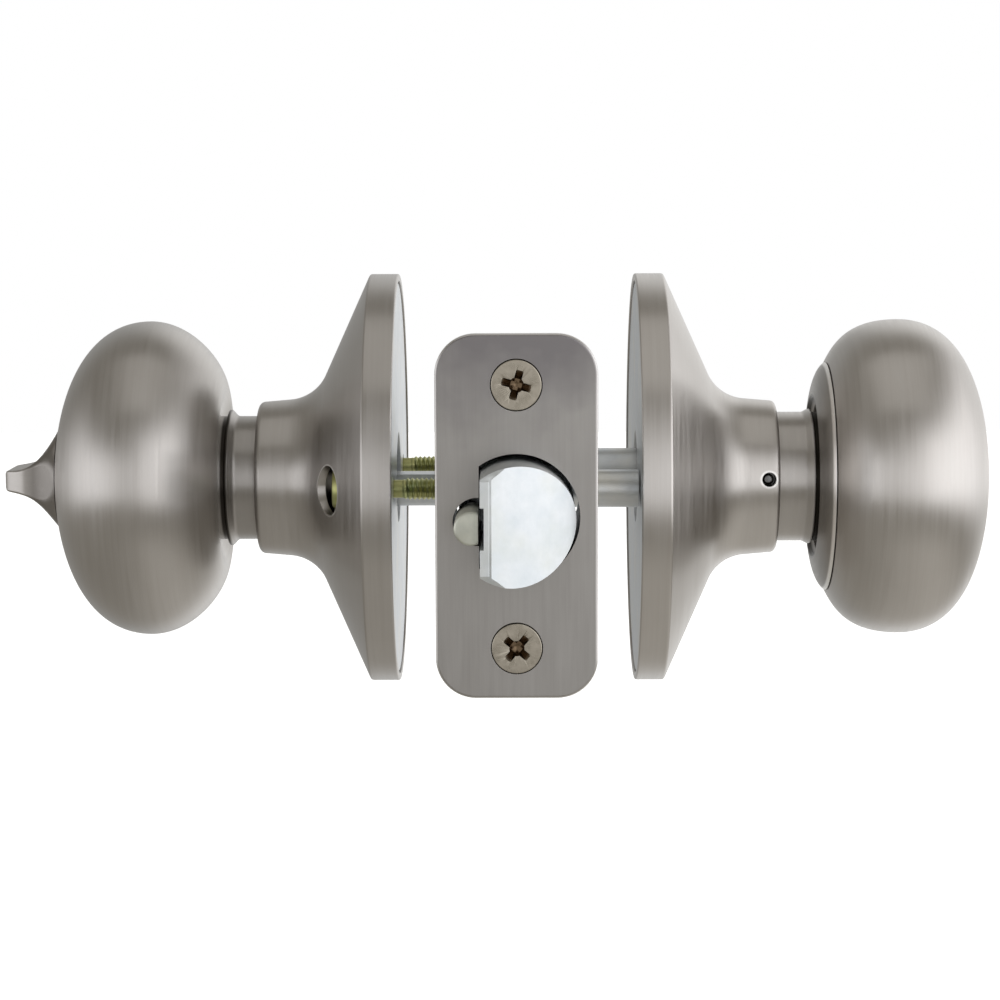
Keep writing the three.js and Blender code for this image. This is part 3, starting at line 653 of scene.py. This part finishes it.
# Light, dark and tint, then the roughness and the size of the patches
COATS = {
    "zinc_plate": ((0.7, 0.72, 0.73), (0.5, 0.53, 0.56), (0.72, 0.68, 0.58), 0.36, 6),
    "zinc_bolt": ((0.78, 0.8, 0.81), (0.58, 0.62, 0.64), (0.62, 0.64, 0.58), 0.44, 5),
    "zinc_plunger": ((0.68, 0.69, 0.61), (0.52, 0.53, 0.47), (0.58, 0.58, 0.47), 0.5, 2),
    "yellow_zinc": ((0.5, 0.49, 0.22), (0.33, 0.34, 0.14), (0.4, 0.47, 0.24), 0.34, 2),
    "sintered_steel": ((0.36, 0.35, 0.33), (0.24, 0.23, 0.22), (0.3, 0.28, 0.25), 0.58, 1),
    # Dark steel for the knob catches, as painted shade deep in the release hole
    "painted_shade_steel": ((0.2, 0.2, 0.2), (0.12, 0.12, 0.12), (0.16, 0.15, 0.13), 0.22, 1),
}


def darkened(metal, share):
    """The two tones of a metal, times share."""
    return {tone: tuple(share * part for part in color) for tone, color in metal.items()}


# Darker copies of the nickel, as painted shade: the lighter for the inside rose and knob, the outside shank
# and the thumb turn; the deeper for the back ring and the inside shank
PAINTED_SHADE_NICKEL = darkened(NICKEL, 0.88)
PAINTED_DEEP_SHADE_NICKEL = darkened(NICKEL, 0.7)
FINISHES = {
    "satin_nickel": satin_nickel("satin_nickel_turned", **TURNED, **NICKEL),
    "satin_nickel_painted_shade": satin_nickel("satin_nickel_painted_shade", **TURNED, **PAINTED_SHADE_NICKEL),
    "satin_nickel_painted_deep_shade": satin_nickel("satin_nickel_painted_deep_shade", **TURNED, **PAINTED_DEEP_SHADE_NICKEL),
    "satin_nickel_across": satin_nickel("satin_nickel_thumb_turn", "X", rough=0.34, **PAINTED_SHADE_NICKEL),
    "satin_nickel_flat": satin_nickel("satin_nickel_plate", "Z", **PLATE_NICKEL),
    "spring_steel": machined("spring_steel", "round", **STEEL, rough=0.32),
    "brass": machined("brass", "round", **BRASS, rough=0.3),
    "screw_nickel": screw_nickel(),
}
FINISHES.update({name: plated(name, *coat) for name, coat in COATS.items()})

SLOTS = {part["node"]: part["material_slot"] for part in frame["record"]["subparts"]}
BODIES = {node: body for body, nodes in frame["record"]["behaviour"]["bodies"].items() for node in nodes}
done = set()  # CAD nodes that have their piece


def fit(piece, node, finish=None):
    """A finished piece stands for a CAD node: it rides on that node's body and has its material slot."""
    piece.data.polygons.foreach_set("use_smooth", [True] * len(piece.data.polygons))
    piece.data.set_sharp_from_angle(angle=radians(35))
    normals = piece.modifiers.new("normals", "WEIGHTED_NORMAL")
    normals.keep_sharp = True
    normals.weight = 60
    piece.data.materials.clear()
    piece.data.materials.append(FINISHES[finish or SLOTS[node]])
    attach(piece, BODIES[node])
    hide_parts(node)
    done.add(node)
    return piece


# Roses, with the driver holes of the inside one and the release hole of the outside one

def rose(side):
    """A spun cover: from the door up its outside, over the collar and back along its inside."""
    wall = ROSE_WALL
    bore = side["neck"] + 0.35
    outline = rounded([
        (DOOR_FACE, ROSE_RADIUS - wall),
        (DOOR_FACE, ROSE_RADIUS, 0.3),
        (25.65, ROSE_RADIUS, 0.5),
        (35.5, 14.2, 7.7),
        (COLLAR_END, 13.35, 1.6),
        (COLLAR_END, bore),
        (COLLAR_END - wall, bore),
        (COLLAR_END - wall, 12.3, 0.6),
        (34.7, 13.1, 8.8),
        (24.9, ROSE_RADIUS - wall, 0.8),
    ], ring=True)
    return turned(side["name"] + "_rose_cover", dense(outline, 1.1), FINE, side["place"])


def driver_hole(y):
    return bar(28, 40, DRIVER_HOLE, INWARD @ Matrix.Translation((0, y, 0)))


def near_driver_hole(middle):
    return abs(hypot(abs(middle.y) - DRIVER_CIRCLE, middle.z) - DRIVER_HOLE) < 0.05


def near_release_hole(middle):
    straight = CATCH_TILT.inverted() @ middle
    return abs(hypot(straight.x - CATCH_X, straight.z) - RELEASE_HOLE) < 0.05


def make_roses():
    inside = cut(rose(INTERIOR), driver_hole(DRIVER_CIRCLE), driver_hole(-DRIVER_CIRCLE))
    # The inside rose takes nickel darkened as painted shade
    fit(softened(inside, 0.3, where=near_driver_hole), "interior_rose", "satin_nickel_painted_shade")
    outside = cut(rose(EXTERIOR), bar(-16, -10, RELEASE_HOLE, AT_CATCH))
    fit(softened(outside, 0.4, segments=4, where=near_release_hole), "exterior_rose")


# Knobs

def knob_outside(side, start, lean):
    """From the knob's back edge round its belly to the middle of its face."""
    belly, face = side["belly"], side["face"]
    lifted = (start[0] + lean, start[1] + 3.7)
    back = bezier(start, lifted, (belly - 8, KNOB_RADIUS), (belly, KNOB_RADIUS))
    front = bezier((belly, KNOB_RADIUS), (belly + 11.5, KNOB_RADIUS), (face, 14.8), (face, 0))
    return back + front[1:]


def knob_inside(side, start):
    """The hollow, about 1.5 mm in, in the same direction."""
    belly, face, radius = side["belly"], side["face"] - 2.4, KNOB_RADIUS - 1.5
    back = bezier(start, (start[0] + 0.5, 23.4), (belly - 7, radius), (belly, radius), 16)
    front = bezier((belly, radius), (belly + 9.6, radius), (face, 14), (face, 0), 16)
    return back + front[1:]


def exterior_knob_shell():
    start, cylinder_hole = (RING_END + 0.2, 20.5), 9.1
    outside = clipped(knob_outside(EXTERIOR, start, 1.8), cylinder_hole)
    inside = clipped(knob_inside(EXTERIOR, (56.2, 19)), cylinder_hole)
    outside[0] = (*start, 0.25)
    outside[-1] = (*outside[-1][:2], 0.4)
    outline = rounded([*outside, *reversed(inside), (start[0], 19)], ring=True)
    return turned("exterior_knob_body", outline, FINE)


def interior_knob_shell():
    start, seat_radius, bar_hole = (51.6, 15), 9.6, 4.8
    outside = clipped(knob_outside(INTERIOR, start, -1.1), seat_radius)
    inside = clipped(knob_inside(INTERIOR, (54.4, 15.5)), bar_hole)
    outside[0] = (*start, 0.7)
    outside[-1] = (*outside[-1][:2], 0.3)
    seat = [(80.4, seat_radius), (80.4, bar_hole)]
    neck_hole = INTERIOR["neck"] + 0.4
    back = [(54.4, neck_hole), (52.9, neck_hole, 0.3)]
    outline = rounded([*outside, *seat, *reversed(inside), *back], ring=True)
    return turned("interior_knob_body", outline, FINE, INWARD)


def knob_back_ring():
    inner, outer = (52.1, 14.2), (RING_END, 20.2)
    dome = bezier(inner, (52.4, 17.1), (53.1, 19.2), outer, 24)
    dome[0] = (*inner, 0.4)
    dome[-1] = (*outer, 0.45)
    rest = [(RING_END, 18.7), (55.8, 18.7), (55.8, 17.2), (54.2, 13.3), (53.2, 13.3, 0.2)]
    return turned("exterior_knob_back_cap", rounded([*dome, *rest], ring=True), FINE)


def knob_shank(side, flange_start, flange_radius):
    neck, lip, lip_end = side["neck"], side["lip"], side["lip_end"]
    outline = rounded([
        (25, SHANK_BORE),
        (25, neck),
        (lip_end - 1.5, neck, 0.9),
        (lip_end - 0.5, lip, 0.5),
        (lip_end, lip, 0.2),
        (lip_end, neck, 0.2),
        (flange_start, neck),
        (flange_start, flange_radius),
        (flange_start + 1.2, flange_radius),
        (flange_start + 1.2, SHANK_BORE),
    ], ring=True)
    shank = turned(side["name"] + "_knob_neck", dense(outline, 2), FINE, side["place"])
    return cut(shank, bar(-14, -8, 1.9, side["place"] @ AT_CATCH))


def make_knobs():
    fit(exterior_knob_shell(), "exterior_knob_shell")
    # Nickel darkened as painted shade for the inside knob, both shanks and the back ring
    fit(interior_knob_shell(), "interior_knob_shell", "satin_nickel_painted_shade")
    fit(knob_back_ring(), "exterior_knob_back_ring", "satin_nickel_painted_deep_shade")
    fit(knob_shank(EXTERIOR, 56.1, 17.5), "exterior_knob_shank", "satin_nickel_painted_shade")
    fit(knob_shank(INTERIOR, 54.8, 15), "interior_knob_shank", "satin_nickel_painted_deep_shade")


# Thumb turn: a round foot that flares into a flat tab

def thumb_turn():
    """Sections from the stem over the foot to the tip. to_foot falls from 1 at the foot to 0 at the tip."""
    foot = 80.7
    stem = ((74, 4.4), (foot, 4.4), (foot, 9.2))
    sections = [(along, radius, radius, radius) for along, radius in stem]
    steps = 44
    for k in range(1, steps + 1):
        to_foot = 1 - k / steps
        along = foot + (THUMB_TIP - foot) * (1 - to_foot)
        half_height = 1.78 + 0.75 * to_foot + 6.67 * to_foot ** 3.4
        half_width = 4.8 + 2.6 * (1 - max(0, 1 - to_foot / 0.44) ** 2) + 1.8 * to_foot ** 4.6
        end = max(0, 1 - to_foot / 0.09)
        drawn_in = 1 - (1 - end ** 2) ** 0.5
        half_height -= 0.4 * drawn_in
        half_width -= 0.6 * drawn_in
        radius = min(half_height * 0.999, 0.4 + 8.8 * to_foot ** 6)
        sections.append((along, half_width, half_height, radius))
    turn = lofted("thumb_turn_handle", sections, INWARD)
    slot = prism("tool", box_outline(-5, 5, -1.1, 1.1), -79, -73, "X")
    return cut(turn, slot)


# Key cylinder

def cylinder_face_ring():
    bore = PLUG_RADIUS + SLACK
    end = FACE_RING_END
    outline = [(77.7, bore), (77.7, 8.7), (end, 8.7, 0.6), (end, 7.4, 0.3), (end - 0.5, bore)]
    return turned("cylinder_collar", rounded(outline, ring=True), MEDIUM)


def key_plug():
    end = [(57, 0), (57, 4.6), (58.5, 4.6), (58.5, PLUG_RADIUS)]
    outline = [*end, (PLUG_FACE, PLUG_RADIUS, 0.5), (PLUG_FACE, 0)]
    plug = turned("key_cylinder_barrel", rounded(outline), MEDIUM)
    half, ward = 1.1, [(1.1, -2.6), (0.3, -2.6), (0.3, -1.6), (1.1, -1.6)]
    keyway = prism("tool", [(-half, -5), (half, -5), *ward, (half, 2.6), (-half, 2.6)], 59.5, 84, "X")
    chambers = [bar(1.5, 8, 1.6, Matrix.Translation((x, 0, 0)) @ ALONG_Z, SMALL) for x in PIN_STATIONS]
    plug = cut(plug, keyway, *chambers)

    def round_keyway(middle):
        return middle.x > PLUG_FACE - 0.1 and hypot(middle.y, middle.z) < 5.6

    return softened(plug, 0.22, 60, 2, where=round_keyway)


def plug_finish():
    """Brass whose face is plated with the same nickel as the knob."""
    finish = Finish("plated_brass_plug")
    marks = finish.grain("round", 0.25, 20, seed=3)
    brass = finish.mixed(finish.ranged(marks, 0, 1), BRASS["dark"], BRASS["light"])
    nickel = finish.mixed(finish.ranged(marks, 0, 1), NICKEL["dark"], NICKEL["light"])
    at_face = finish.math("GREATER_THAN", finish.x, PLUG_FACE - 0.7)
    finish.color(finish.mixed(at_face, brass, nickel))
    finish.roughness(finish.ranged(marks, 0.26, 0.4))
    finish.bump(marks, 0.008)
    return finish.material


# Latch

def flattened(radius, flat):
    """A circle with one flat side, in X and Z, as the bolt and its hole are."""
    sides = 120
    reach = atan2((radius ** 2 - flat ** 2) ** 0.5, flat)
    angles = [reach * (2 * i / sides - 1) for i in range(sides + 1)]
    return [(radius * cos(angle), radius * sin(angle)) for angle in angles]


def plate_outline(inset=0.0):
    """The faceplate's outline, or one that lies inside it, in X and Z."""
    corner = 6.35 - inset
    return rounded_box(PLATE_HALF_WIDTH - inset, PLATE_HALF_HEIGHT - inset, corner, steps=16)


def screw_holes(start, end, radius):
    return [prism("tool", circle(0, z, radius), start, end) for z in (SCREW_Z, -SCREW_Z)]


def countersink(z):
    """The cutter for a screw head's seat, a little wider than the head."""
    grow = 0.13
    front, head = HEAD_FRONT - 1, HEAD_RADIUS + grow
    outline = rounded([
        (front, 0), (front, head), (HEAD_EDGE, head), (HEAD_BACK, HEAD_NECK + grow), (HEAD_BACK, 0)
    ])
    return turned("tool", outline, MEDIUM, Matrix.Translation((0, 0, z)) @ ALONG_Y)


def faceplate():
    plate = prism("latch_faceplate", plate_outline(), PLATE_FRONT, PLATE_BACK)
    softened(plate, 0.45, 60, 4, where=lambda middle: middle.y < PLATE_FRONT + 0.01)
    sinks = [countersink(z) for z in (SCREW_Z, -SCREW_Z)]
    start, end = PLATE_FRONT - 1, PLATE_BACK + 1
    bolt_hole = prism("tool", flattened(BOLT_RADIUS - 2 * BOLT_Z, BOLT_FLAT - SLACK), start, end)
    plunger_hole = prism("tool", circle(*PLUNGER_HOLE), start, end)
    plate = cut(plate, bolt_hole, plunger_hole, *screw_holes(start, end, 2.3), *sinks)
    return softened(cleaned(plate), 0.13, 60, 2, where=lambda middle: middle.y < PLATE_FRONT + 0.02)


def latch_back_plate():
    low, high = (corner.y for corner in extent("latch_back_plate"))
    plate = prism("latch_support_plate", plate_outline(0.3), low, high)
    tube_hole = prism("tool", circle(0, 0, extent("latch_tube")[1].z + SLACK), low - 1, high + 1)
    plate = cut(plate, tube_hole, *screw_holes(low - 1, high + 1, 2.6))
    return softened(cleaned(plate), 0.15, 60, 2)


def cross_recess(depth, place):
    """A tapered cross, cut into a face at the origin that looks along -X."""
    sections = [(-1, 2.62, 0.66, 0.2), (0, 2.35, 0.6, 0.2), (depth, 0.9, 0.35, 0.1)]
    turns = (OUTWARD, Matrix.Rotation(pi / 2, 4, "X"))
    wings = [lofted("tool", sections, place @ turn) for turn in turns]
    pit = turned("tool", [(-1, 0), (-1, 1.5), (depth * 0.9, 0.7), (depth * 1.1, 0)], SMALL, place)
    return joined(*wings, pit)


def wood_thread(along, angle):
    """A sharp ridge that fades out at the head and at the point."""
    pitch, first, last = 1.9, PLATE_FRONT + 4.5, PLATE_FRONT + 18
    fade = min(1, max(0, (along - first) / pitch), max(0, (last - along) / 3))
    phase = (along / pitch - angle / (2 * pi)) % 1
    return 0.55 * fade * max(0, 1 - abs(phase - 0.5) / 0.22)


def faceplate_screw(name, z, angle):
    end = PLATE_FRONT + 19
    head = rounded([
        (HEAD_FRONT, 0),
        (HEAD_FRONT, HEAD_RADIUS, 0.3),
        (HEAD_EDGE, HEAD_RADIUS, 0.05),
        (HEAD_BACK, HEAD_NECK, 0.3),
        (PLATE_FRONT + 4, 1.45, 0.5),
    ])
    shank = dense([(PLATE_FRONT + 4.01, 1.4), (end - 4, 1.3), (end, 0.2)], 0.2, ring=False)
    outline = [*head[:-1], *shank, (end, 0)]
    screw = turned(name, outline, SMALL, Matrix.Translation((0, 0, z)) @ ALONG_Y, wood_thread)
    place = Matrix.Translation((0, HEAD_FRONT, z)) @ ALONG_Y @ Matrix.Rotation(angle, 4, "X")
    screw = cut(screw, cross_recess(1.9, place))

    def round_recess(middle):
        return middle.y < PLATE_FRONT and hypot(middle.x, middle.z - z) < 3

    return softened(screw, 0.07, 40, 2, where=round_recess)


def latch_bolt():
    bolt = prism("spring_bolt", flattened(BOLT_RADIUS, BOLT_FLAT), BOLT_TIP, BOLT_END)
    tip_edge = BOLT_FLAT + 1.3
    control, heel = (4.6, BOLT_TIP + 3.4), (BOLT_RADIUS + 0.6, PLATE_FRONT + 0.2)
    start = (tip_edge, BOLT_TIP)
    near = tuple(a + (b - a) * 2 / 3 for a, b in zip(start, control))
    far = tuple(b + (a - b) * 2 / 3 for a, b in zip(control, heel))
    curve = [point[:2] for point in bezier(start, near, far, heel, 30)]
    beyond = [(BOLT_RADIUS + 3, BOLT_TIP - 2), (tip_edge, BOLT_TIP - 2)]
    bevel = prism("tool", curve + beyond, -15, 15, "Z")
    before_tip, outer = BOLT_TIP - 1, 12.3
    corners = []
    for up in (1, -1):
        outline = [(before_tip, up * 5.5), (BOLT_TIP + 3, up * outer), (before_tip, up * outer)]
        corners.append(prism("tool", outline, -10, 10, "X"))
    groove_outline = box_outline(BOLT_FLAT - 1, BOLT_FLAT + 0.6, -3.2, 3.2)
    groove = prism("tool", groove_outline, before_tip, BOLT_END + 1)
    spring_bore = bar(-56, BOLT_END + 1, 4.1, ALONG_Y)
    bolt = cut(bolt, bevel, *corners, groove, spring_bore)
    stop = prism("tool", box_outline(-9.4, BOLT_FLAT + 1, -2.6, 2.6), BOLT_END - 1.6, BOLT_END)
    bolt = softened(cleaned(joined(bolt, stop)), 0.2, 22, 3)
    mould_line = box_outline(tip_edge + 0.1, tip_edge + 0.45, -15, 15)
    bolt = cut(bolt, prism("tool", mould_line, before_tip, BOLT_TIP + 0.3))
    bolt.data.transform(Matrix.Translation((0, 0, BOLT_Z * MM)))
    return bolt


def deadlatch_plunger():
    outline = rounded([
        (PLUNGER_TIP, 0),
        (PLUNGER_TIP, PLUNGER_RADIUS, 0.45),
        (PLUNGER_END, PLUNGER_RADIUS),
        (PLUNGER_END, 0),
    ])
    place = Matrix.Translation((PLUNGER_X, 0, PLUNGER_Z)) @ ALONG_Y
    rod = turned("deadlatch_pin", outline, MEDIUM, place)
    flat = prism("tool", box_outline(PLUNGER_FLAT, 0, -5, 5), PLUNGER_TIP - 1, PLUNGER_END + 1)
    return softened(cut(rod, flat), 0.2, 45, 2)


def latch_tube():
    low, high = extent("latch_tube")
    radius = high.z
    corners = [(low.y, radius - 0.8), (low.y, radius), (high.y, radius), (high.y, radius - 0.8)]
    return turned("latch_barrel", dense(rounded(corners, ring=True), 6), FINE, ALONG_Y)


def make_latch():
    fit(faceplate(), "faceplate", "satin_nickel_flat")
    fit(latch_back_plate(), "latch_back_plate")
    fit(faceplate_screw("top_wood_screw", SCREW_Z, 0.26), "faceplate_screw_top")
    fit(faceplate_screw("bottom_wood_screw", -SCREW_Z, 0.7), "faceplate_screw_bottom")
    fit(latch_bolt(), "latch_bolt")
    fit(deadlatch_plunger(), "deadlatch_plunger")
    fit(latch_tube(), "latch_tube")


# Mounting: plates, posts and through bolts

def mounting_plate(side):
    """The inside plate has a raised seat under each bolt's head."""
    low, high = extent("exterior_mounting_plate")
    start, end, outer = low.x, high.x, high.z
    bore, place = 8, side["place"]
    ring = rounded([(start, bore), (start, outer), (end, outer), (end, bore)], ring=True)
    plate = turned(side["name"] + "_clamp_plate", dense(ring, 4), FINE, place)
    centres = [place @ Matrix.Translation((0, y, 0)) for y in (BOLT_CIRCLE, -BOLT_CIRCLE)]
    top = -extent("interior_mounting_plate")[0].x if side is INTERIOR else end
    if top > end:
        plate = joined(plate, *(bar(start + 0.2, top, 4, centre) for centre in centres))
    plate = cut(plate, *(bar(start - 1, top + 1, 2.3, centre) for centre in centres))
    return softened(plate, 0.12, 60, 2)


def threaded_post(name, y):
    low, high = (corner.x for corner in extent("threaded_post_front"))
    outline = rounded([(4, 0), (4, 2.2), (low, 2.2, 0.2), (low, 3.2, 0.35), (high, 3.2), (high, 0)])
    return turned(name, dense(outline, 4, ring=False), MEDIUM, Matrix.Translation((0, y, 0)))


def machine_thread(along, angle):
    """A fine ridge between the head and the end of a through bolt."""
    pitch, first, last = 0.8, -19.5, 2.6
    fade = min(1, max(0, (along - first) / pitch), max(0, (last - along) / pitch))
    phase = (along / pitch - angle / (2 * pi)) % 1
    return 0.34 * fade * (1 - abs(2 * phase - 1))


def through_bolt(name, y):
    low, high = (corner.x for corner in extent("through_bolt_front"))
    head = rounded([
        (low, 0),
        (low, 3.1, 0.4),
        (low + 1.1, 3.9, 0.3),
        (low + 2.5, 3.9, 0.1),
        (low + 2.5, 1.9, 0.1),
        (low + 3, 1.8),
    ])
    shank = dense([(low + 3.2, 1.56), (high - 0.4, 1.56), (high, 1.3)], 0.1, ring=False)
    outline = [*head[:-1], *shank, (high, 0)]
    screw = turned(name, outline, SMALL, Matrix.Translation((0, y, 0)), machine_thread)
    recess_place = Matrix.Translation((low, y, 0)) @ Matrix.Rotation(0.5, 4, "X")
    return cut(screw, cross_recess(1.7, recess_place))


def make_mounting():
    for side in (EXTERIOR, INTERIOR):
        fit(mounting_plate(side), side["name"] + "_mounting_plate")
    for place, y in (("front", -BOLT_CIRCLE), ("rear", BOLT_CIRCLE)):
        fit(threaded_post(place + "_post", y), "threaded_post_" + place)
        fit(through_bolt(place + "_machine_bolt", y), "through_bolt_" + place)


# Springs

def make_springs():
    for side in (EXTERIOR, INTERIOR):
        spring = coil(side["name"] + "_torsion_coil", 12.9, 1.1, 24.6, 4.6, 3, side["place"], 0.4)
        fit(spring, side["name"] + "_return_spring")
    low, high = (corner.y for corner in extent("bolt_spring"))
    fit(coil("bolt_coil", 3.1, 0.8, low, high - low, 8, ALONG_Y), "bolt_spring")
    low, high = (corner.y for corner in extent("plunger_spring"))
    place = Matrix.Translation((PLUNGER_X - 0.6, 0, PLUNGER_Z)) @ ALONG_Y
    fit(coil("plunger_coil", 1.3, 0.45, low, high - low, 6, place), "plunger_spring")


def refined(node):
    """The CAD node's own shape with its edges broken, for the pieces of the works."""
    piece = bpy.data.objects.new(node + "_part", frame["nodes"][node].data.copy())
    bpy.context.scene.collection.objects.link(piece)
    return softened(cleaned(piece), 0.1, 35, 2)


def knob_catch(side):
    """The catch with a dome on its pin, which shows in the release hole."""
    end = 0.9 - side["neck"]
    outline = rounded([(end - 0.7, 0), (end - 0.7, 1, 0.65), (end + 0.6, 1), (end + 0.6, 0)])
    dome = turned("tool", outline, SMALL, side["place"] @ AT_CATCH)
    return joined(refined(side["name"] + "_knob_catch"), dome)


make_roses()
make_knobs()
fit(thumb_turn(), "thumb_turn", "satin_nickel_across")
fit(cylinder_face_ring(), "cylinder_face_ring")
FINISHES["plated_plug"] = plug_finish()
fit(key_plug(), "key_plug", "plated_plug")
make_latch()
make_mounting()
make_springs()
# The catches take dark steel, as painted shade deep in the release hole
for side in (EXTERIOR, INTERIOR):
    fit(knob_catch(side), side["name"] + "_knob_catch", "painted_shade_steel")
for node in sorted(set(frame["nodes"]) - done):
    fit(refined(node), node)


# Camera: the door's edge seen square on, from a little above the knobs. The known sizes of the plate,
# the roses and the knobs give its place, its angles and its lens.

CAMERA_PLACE = (0.00075, -0.487545, 0.051503)
YAW, PITCH, ROLL = radians(-0.445), radians(-6.51), radians(-0.196)
SENSOR_WIDTH = 36
FOCAL_LENGTH = 99.56


def make_camera():
    data = bpy.data.cameras.new("camera")
    camera = bpy.data.objects.new("camera", data)
    bpy.context.scene.collection.objects.link(camera)
    bpy.context.scene.camera = camera
    data.sensor_width = SENSOR_WIDTH
    data.lens = FOCAL_LENGTH
    data.clip_start = 0.01
    aim = Matrix.Rotation(-YAW, 4, "Z") @ Matrix.Rotation(pi / 2 + PITCH, 4, "X")
    camera.matrix_world = Matrix.Translation(CAMERA_PLACE) @ aim @ Matrix.Rotation(ROLL, 4, "Z")


# Studio: a white backdrop, a dim warm room whose long soft band of light is brightest on the right, a
# soft box overhead and a pale floor

ROOM = {"upper": (0.31, 0.296, 0.268), "lower": (0.37, 0.354, 0.321), "floor": (0.64, 0.62, 0.58)}
REAR = {"left": (0.42, 0.42, 0.41), "right": (1.05, 1.05, 1.04)}
PANELS = {"left": (1.5, 1.51, 1.55), "middle": (0.68, 0.67, 0.66), "right": (1.75, 1.76, 1.8)}


def make_world():
    world = bpy.data.worlds.new("studio")
    bpy.context.scene.world = world
    world.use_nodes = True
    tree = world.node_tree
    tree.nodes.clear()

    def node(kind, inputs=None, **settings):
        return add_node(tree, kind, inputs, **settings)

    def step(value, start, end):
        """0 before start and 1 after end, or the other way round if end is the smaller."""
        inputs = {"Value": value, "From Min": start, "From Max": end}
        return node("ShaderNodeMapRange", inputs, interpolation_type="SMOOTHSTEP").outputs[0]

    def times(first, second):
        return node("ShaderNodeMath", {0: first, 1: second}, operation="MULTIPLY").outputs[0]

    def mix(share, first, second):
        return mixed_color(tree, share, first, second)

    direction = node("ShaderNodeTexCoord").outputs["Generated"]
    x, y, z = node("ShaderNodeSeparateXYZ", {0: direction}).outputs
    room = mix(step(z, -0.02, -0.2), ROOM["upper"], ROOM["lower"])
    room = mix(times(step(z, -0.4, -0.75), step(x, -0.4, 0.4)), room, ROOM["floor"])
    rear = mix(step(x, -0.3, 0.3), REAR["left"], REAR["right"])
    room = mix(step(y, 0.5, 0.9), room, rear)
    band = times(times(step(z, 0.5, 0.15), step(z, -0.23, -0.14)), step(y, 0.7, 0.1))
    right_band = times(times(step(z, 0.8, 0.35), step(z, -0.35, -0.1)), step(y, 1.0, 0.3))
    panel = mix(step(x, -0.3, -0.7), PANELS["middle"], PANELS["left"])
    lit_room = mix(times(right_band, step(x, -0.1, 0.45)), mix(band, room, panel), PANELS["right"])
    lit = node("ShaderNodeBackground", {"Color": lit_room})
    seen = node("ShaderNodeBackground", {"Color": (1, 1, 1, 1)})
    camera_ray = node("ShaderNodeLightPath").outputs["Is Camera Ray"]
    both = node("ShaderNodeMixShader", {0: camera_ray, 1: lit.outputs[0], 2: seen.outputs[0]})
    node("ShaderNodeOutputWorld", {"Surface": both.outputs[0]})


def soft_box(name, place, target, size, power):
    light = bpy.data.lights.new(name, "AREA")
    light.shape = "RECTANGLE"
    light.size, light.size_y = size, size
    light.energy = power
    lamp = bpy.data.objects.new(name, light)
    bpy.context.scene.collection.objects.link(lamp)
    lamp.location = place
    lamp.rotation_euler = (Vector(target) - Vector(place)).to_track_quat("-Z", "Y").to_euler()


def make_floor():
    half, top = 3000, -260
    floor = prism("floor", box_outline(-half, half, -half, half), top - 5, top, "Z")
    finish = Finish("floor", metallic=0.0)
    finish.color(finish.mixed(finish.cloud(400), (0.86, 0.86, 0.85), (0.9, 0.9, 0.89)))
    finish.shader.inputs["Roughness"].default_value = 0.9
    finish.shader.inputs["Emission Color"].default_value = (1, 1, 1, 1)
    finish.shader.inputs["Emission Strength"].default_value = 0.75
    floor.data.materials.append(finish.material)
    floor.visible_glossy = False


make_camera()
make_world()
soft_box("top_soft_box", (0, -0.2, 1.2), (0, 0, 0), size=1.2, power=1.5)
make_floor()
bpy.context.scene.view_settings.view_transform = "Standard"
